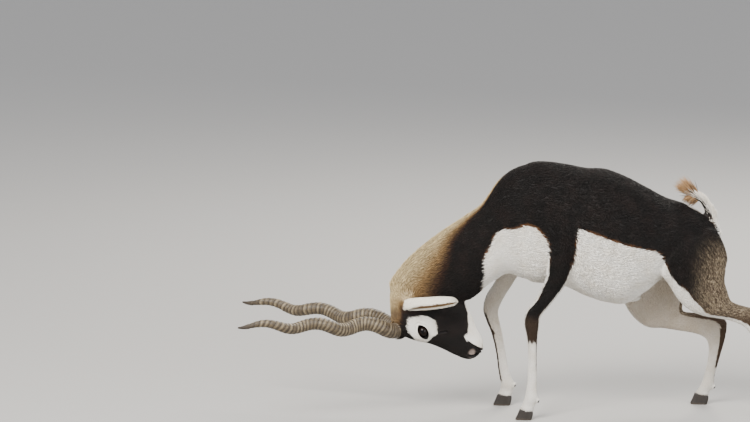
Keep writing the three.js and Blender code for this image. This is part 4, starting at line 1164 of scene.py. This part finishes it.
# Horns: hollow keratin sheaths on bone cores, drawn out in a spiral and ringed by growth to near the tip.
# A ring swells slowly and drops back quickly, stands aslant, and is highest on the front of the horn. The rings
# crowd toward the base, and the last stretch is smooth.
HORN_RINGS, RINGED_TO, RING_SWELL, RING_SLANT, RING_HEIGHTS = 44, 0.93, 0.62, 0.42, 50
HORN_RADIUS, HORN_STEPS, HORN_SIDES, THINNEST, GROOVE = 24, 760, 44, 1.4, 2.5
# Of these colours, groove is painted shade laid in the grooves between the rings.
HORN = {name: srgb(*rgb) for name, rgb in {
    "brown": (62, 52, 38), "tan": (92, 79, 58), "lit ridge": (138, 124, 98), "groove": (34, 27, 20),
    "base": (58, 45, 32), "grain": (38, 30, 22), "tip": (44, 36, 29)}.items()}
for side, word in ((-1, "left"), (1, "right")):
    t = np.concatenate([[-0.03, -0.012], np.linspace(0, 1, HORN_STEPS)])
    s = np.clip(t, 0, 1)
    bearing = np.arange(HORN_SIDES) / HORN_SIDES * 2 * np.pi
    grown = s / RINGED_TO
    count = HORN_RINGS * (0.7 * grown + 0.3 * (1 - (1 - grown) ** 2)) - 0.2
    count = count[:, None] + RING_SLANT * np.cos(bearing - 0.5 - side) * soft(0, 0.15, s)[:, None]
    phase = count - np.floor(count)
    swelling = np.sin(phase / RING_SWELL * np.pi / 2) ** 1.5
    dropping = np.clip(np.cos((phase - RING_SWELL) / (1 - RING_SWELL) * np.pi / 2), 0, 1) ** 0.7
    tall = np.where(phase < RING_SWELL, swelling, dropping)
    tall *= (np.clip((RINGED_TO - s) / 0.05, 0, 1) * (t >= 0))[:, None]
    rng = np.random.default_rng(5 + side)
    ring = tall * rng.uniform(0.6, 1.1, RING_HEIGHTS)[np.clip(np.floor(count), 0, RING_HEIGHTS - 1).astype(int)]
    front = 0.75 + 0.25 * np.cos(bearing - 0.6)
    s = s[:, None]
    size = HORN_RADIUS * (1 - 0.34 * s - 0.5 * s**5 - 0.07 * s**20)
    groove = GROOVE * (1 - 0.45 * s) * (1 - ring * front) * (s < RINGED_TO)
    radius = np.maximum(size - 0.3 - groove, THINNEST)
    radius = np.where(s > RINGED_TO, np.minimum(radius, size - 0.3), radius)
    radius += 0.22 * np.sin(bearing * 13 + 3 * np.sin(count * 0.7)) * (1 - ring)
    radius[-1] = 0.6
    p, faces = tube(horn_line(side)(t, radius, HORN_SIDES))
    horn = mesh_object(f"horn_{word}_sheath", p / 1000, faces)
    up_horn, round_horn = np.broadcast_arrays(s, np.abs(bearing - np.pi))
    lie = np.stack([up_horn * 0.5, round_horn * 0.02, up_horn * 0], -1)
    mark_mesh(horn.data, {"ring": ring.ravel(), "along": up_horn.ravel(), "lie": lie.reshape(-1, 3)})
    f = Finish(f"horn_keratin_{word}")
    grain = f.noise(f.stretched(f.place("lie"), (0.25, 1, 1)), 900.0, 4.0, 0.65)
    mottle = f.noise(f.place("lie"), 60.0, 4.0, 0.6)
    ring_mark, along_mark = f.mark("ring"), f.mark("along")
    colour = f.blend(mottle.step(0.3, 0.7), HORN["brown"], HORN["tan"])
    # The tops of the ring ridges are painted paler: a painted highlight.
    for share, laid_over in (
            (ring_mark.step(0.6, 1.0) * mottle.step(0.2, 0.6) * 0.75, "lit ridge"),
            # The grooves between the rings are darkened: painted shade.
            ((1.0 - ring_mark.step(0.0, 0.4)) * (1.0 - along_mark.step(0.88, 0.95)) * 0.85, "groove"),
            ((1.0 - along_mark.step(0.02, 0.2)) * 0.5, "base"), (grain.step(0.45, 0.75) * 0.4, "grain"),
            (along_mark.step(0.88, 0.97) * 0.8, "tip")):
        colour = f.blend(share, colour, HORN[laid_over])
    horn.data.materials.append(f.set(Base_Color=colour, Roughness=0.5 + (grain - 0.5) * 0.3,
                                     Specular_IOR_Level=0.4, Normal=f.bump(grain, 0.0006, 0.7)))
    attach(horn, "root")
    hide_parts(f"horn_{word}")


# Hooves: two narrow pointed claws to a foot, dark horn over bone, closed under the pastern. Each claw's inner
# wall is nearly straight, its outer wall curves in to the toe, the heel is low and round, the sole's edge worn.
HOOF_SPREAD, HOOF_REACH, HEEL_TUCK, HOOF_SIDES, WORN_FROM = 1.6, 13, 6, 48, 0.95
CLAW_PLACES = np.concatenate([[-0.05, 0, 0.03], np.linspace(0.08, WORN_FROM, 22), [0.965, 0.985, 1]])
f = Finish("hoof_horn")
grain = f.noise(f.stretched(f.place("lie"), (1, 1, 4.0)), 190.0, 5.0, 0.6)
colour = f.blend(grain.step(0.3, 0.75), srgb(30, 26, 23), srgb(50, 43, 37))
colour = f.blend(f.mark("down").step(0.75, 1.0) * 0.45, colour, srgb(84, 73, 60))
hoof_horn = f.set(Base_Color=colour, Roughness=0.38 + (grain - 0.5) * 0.3, Specular_IOR_Level=0.4,
                  Normal=f.bump(grain, 0.0004, 0.6))
for leg, rows in LEGS.items():
    name = leg.replace("_", "leg_")
    ax, az, bx, bz, y0, w = rows[-1].astype(float)
    claws = []
    for side in (-1, 1):
        loops = []
        for t in CLAW_PLACES:
            edge = max(t - WORN_FROM, 0) * 24 + (2.0 if t < 0 else 0.0)
            t = max(t, 0)
            ripple = 0.14 * math.sin(t * 75) * (1 - t)
            toe = ax + 0.2 - (HOOF_REACH + 0.2) * t + edge + 0.3 + 1.6 * math.sin(math.pi * t) * 0.5 - ripple
            heel = bx - 0.8 - (HEEL_TUCK - 0.8) * t * t - edge - 0.3
            width = (w - 0.4 - HOOF_SPREAD) / 2 + 1.3 * t - edge - 0.2 + ripple
            angle = np.arange(HOOF_SIDES) / HOOF_SIDES * 2 * np.pi
            front = 0.5 + 0.5 * np.cos(angle)
            half = width * (1 - (0.3 + 0.3 * t) * front**2)
            middle = side * (HOOF_SPREAD + half + edge + 0.3 * (width - half) + 1.5 * t * front)
            lean = np.sign(np.sin(angle)) * np.abs(np.sin(angle)) ** 0.8
            x0 = heel + (toe - heel) * front
            top = bz + (az - bz) * (x0 - bx) / (ax - bx) + (1.6 if edge > 1.5 else -0.6)
            loops.append(np.stack([x0, y0 + middle + lean * half, top * (1 - t)], -1))
        claws.append(tube(np.array(loops) + SHIFT))
    p, faces = fused(claws)
    hoof = mesh_object(f"{name}_hooves", p / 1000, faces)
    mark_mesh(hoof.data, {"lie": p / 1000, "down": np.clip(1 - p[:, 2] / 28, 0, 1)})
    hoof.data.materials.append(hoof_horn)
    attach(hoof, "root")
    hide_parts(f"{name}_hoof_a", f"{name}_hoof_b")


# The floor is plain and pale, under an even pale sky.
# The light is a large soft key, a broad fill and a rim from behind: place, size in m, power in W, tint.
FLOOR_HALF = 30
LIGHTS = {"key": ((-2.0, -3.6, 4.2), 2.6, 620, (1.0, 0.97, 0.92)),
          "fill": ((3.2, -3.8, 1.6), 3.0, 130, (0.94, 0.97, 1.0)),
          "rim": ((1.5, 3.4, 3.6), 2.2, 280, (1.0, 0.95, 0.86))}
LIT_AT = Vector((0, 0, 0.4))
corners = np.array([[-1, -1, 0], [1, -1, 0], [1, 1, 0], [-1, 1, 0]]) * FLOOR_HALF
floor = mesh_object("floor", corners, [(0, 1, 2, 3)])
f = Finish("pale_floor")
floor.data.materials.append(f.set(Base_Color=(0.36, 0.35, 0.335), Roughness=0.9))
world = bpy.data.worlds.new("studio")
bpy.context.scene.world = world
world.use_nodes = True
sky = world.node_tree.nodes["Background"]
sky.inputs["Color"].default_value, sky.inputs["Strength"].default_value = (0.93, 0.95, 1.0, 1), 1.0
for name, (place, size, power, tint) in LIGHTS.items():
    light = bpy.data.lights.new(name, "AREA")
    light.size, light.energy, light.color = size, power, tint
    lamp = bpy.data.objects.new(name, light)
    lamp.location = place
    lamp.rotation_euler = (LIT_AT - Vector(place)).to_track_quat("-Z", "Y").to_euler()
    bpy.context.scene.collection.objects.link(lamp)

# The camera stands about 12 m off, nine degrees above level, and frames the animal as the photo does:
# a pixel is 2.9 mm at the animal, and the part's origin stands at a place given in pixels of a 750 x 422 frame.
PIXEL, FRAME_WIDE, FRAME_MIDDLE, ORIGIN_AT = 0.0029, 750, (375, 211), (510, 413.5)
REACH, TILT, SENSOR = 12.0, math.radians(9), 36
camera = bpy.data.objects.new("camera", bpy.data.cameras.new("camera"))
bpy.context.scene.collection.objects.link(camera)
across, up = (FRAME_MIDDLE[0] - ORIGIN_AT[0]) * PIXEL, (ORIGIN_AT[1] - FRAME_MIDDLE[1]) * PIXEL / math.cos(TILT)
aim = Vector((across, 0, up))
camera.location = aim + Vector((0, -math.cos(TILT), math.sin(TILT))) * REACH
camera.rotation_euler = (math.radians(90) - TILT, 0, 0)
camera.data.sensor_width = SENSOR
camera.data.lens = SENSOR * REACH / (FRAME_WIDE * PIXEL)
camera.data.clip_start, camera.data.clip_end = 0.1, 100
bpy.context.scene.camera = camera
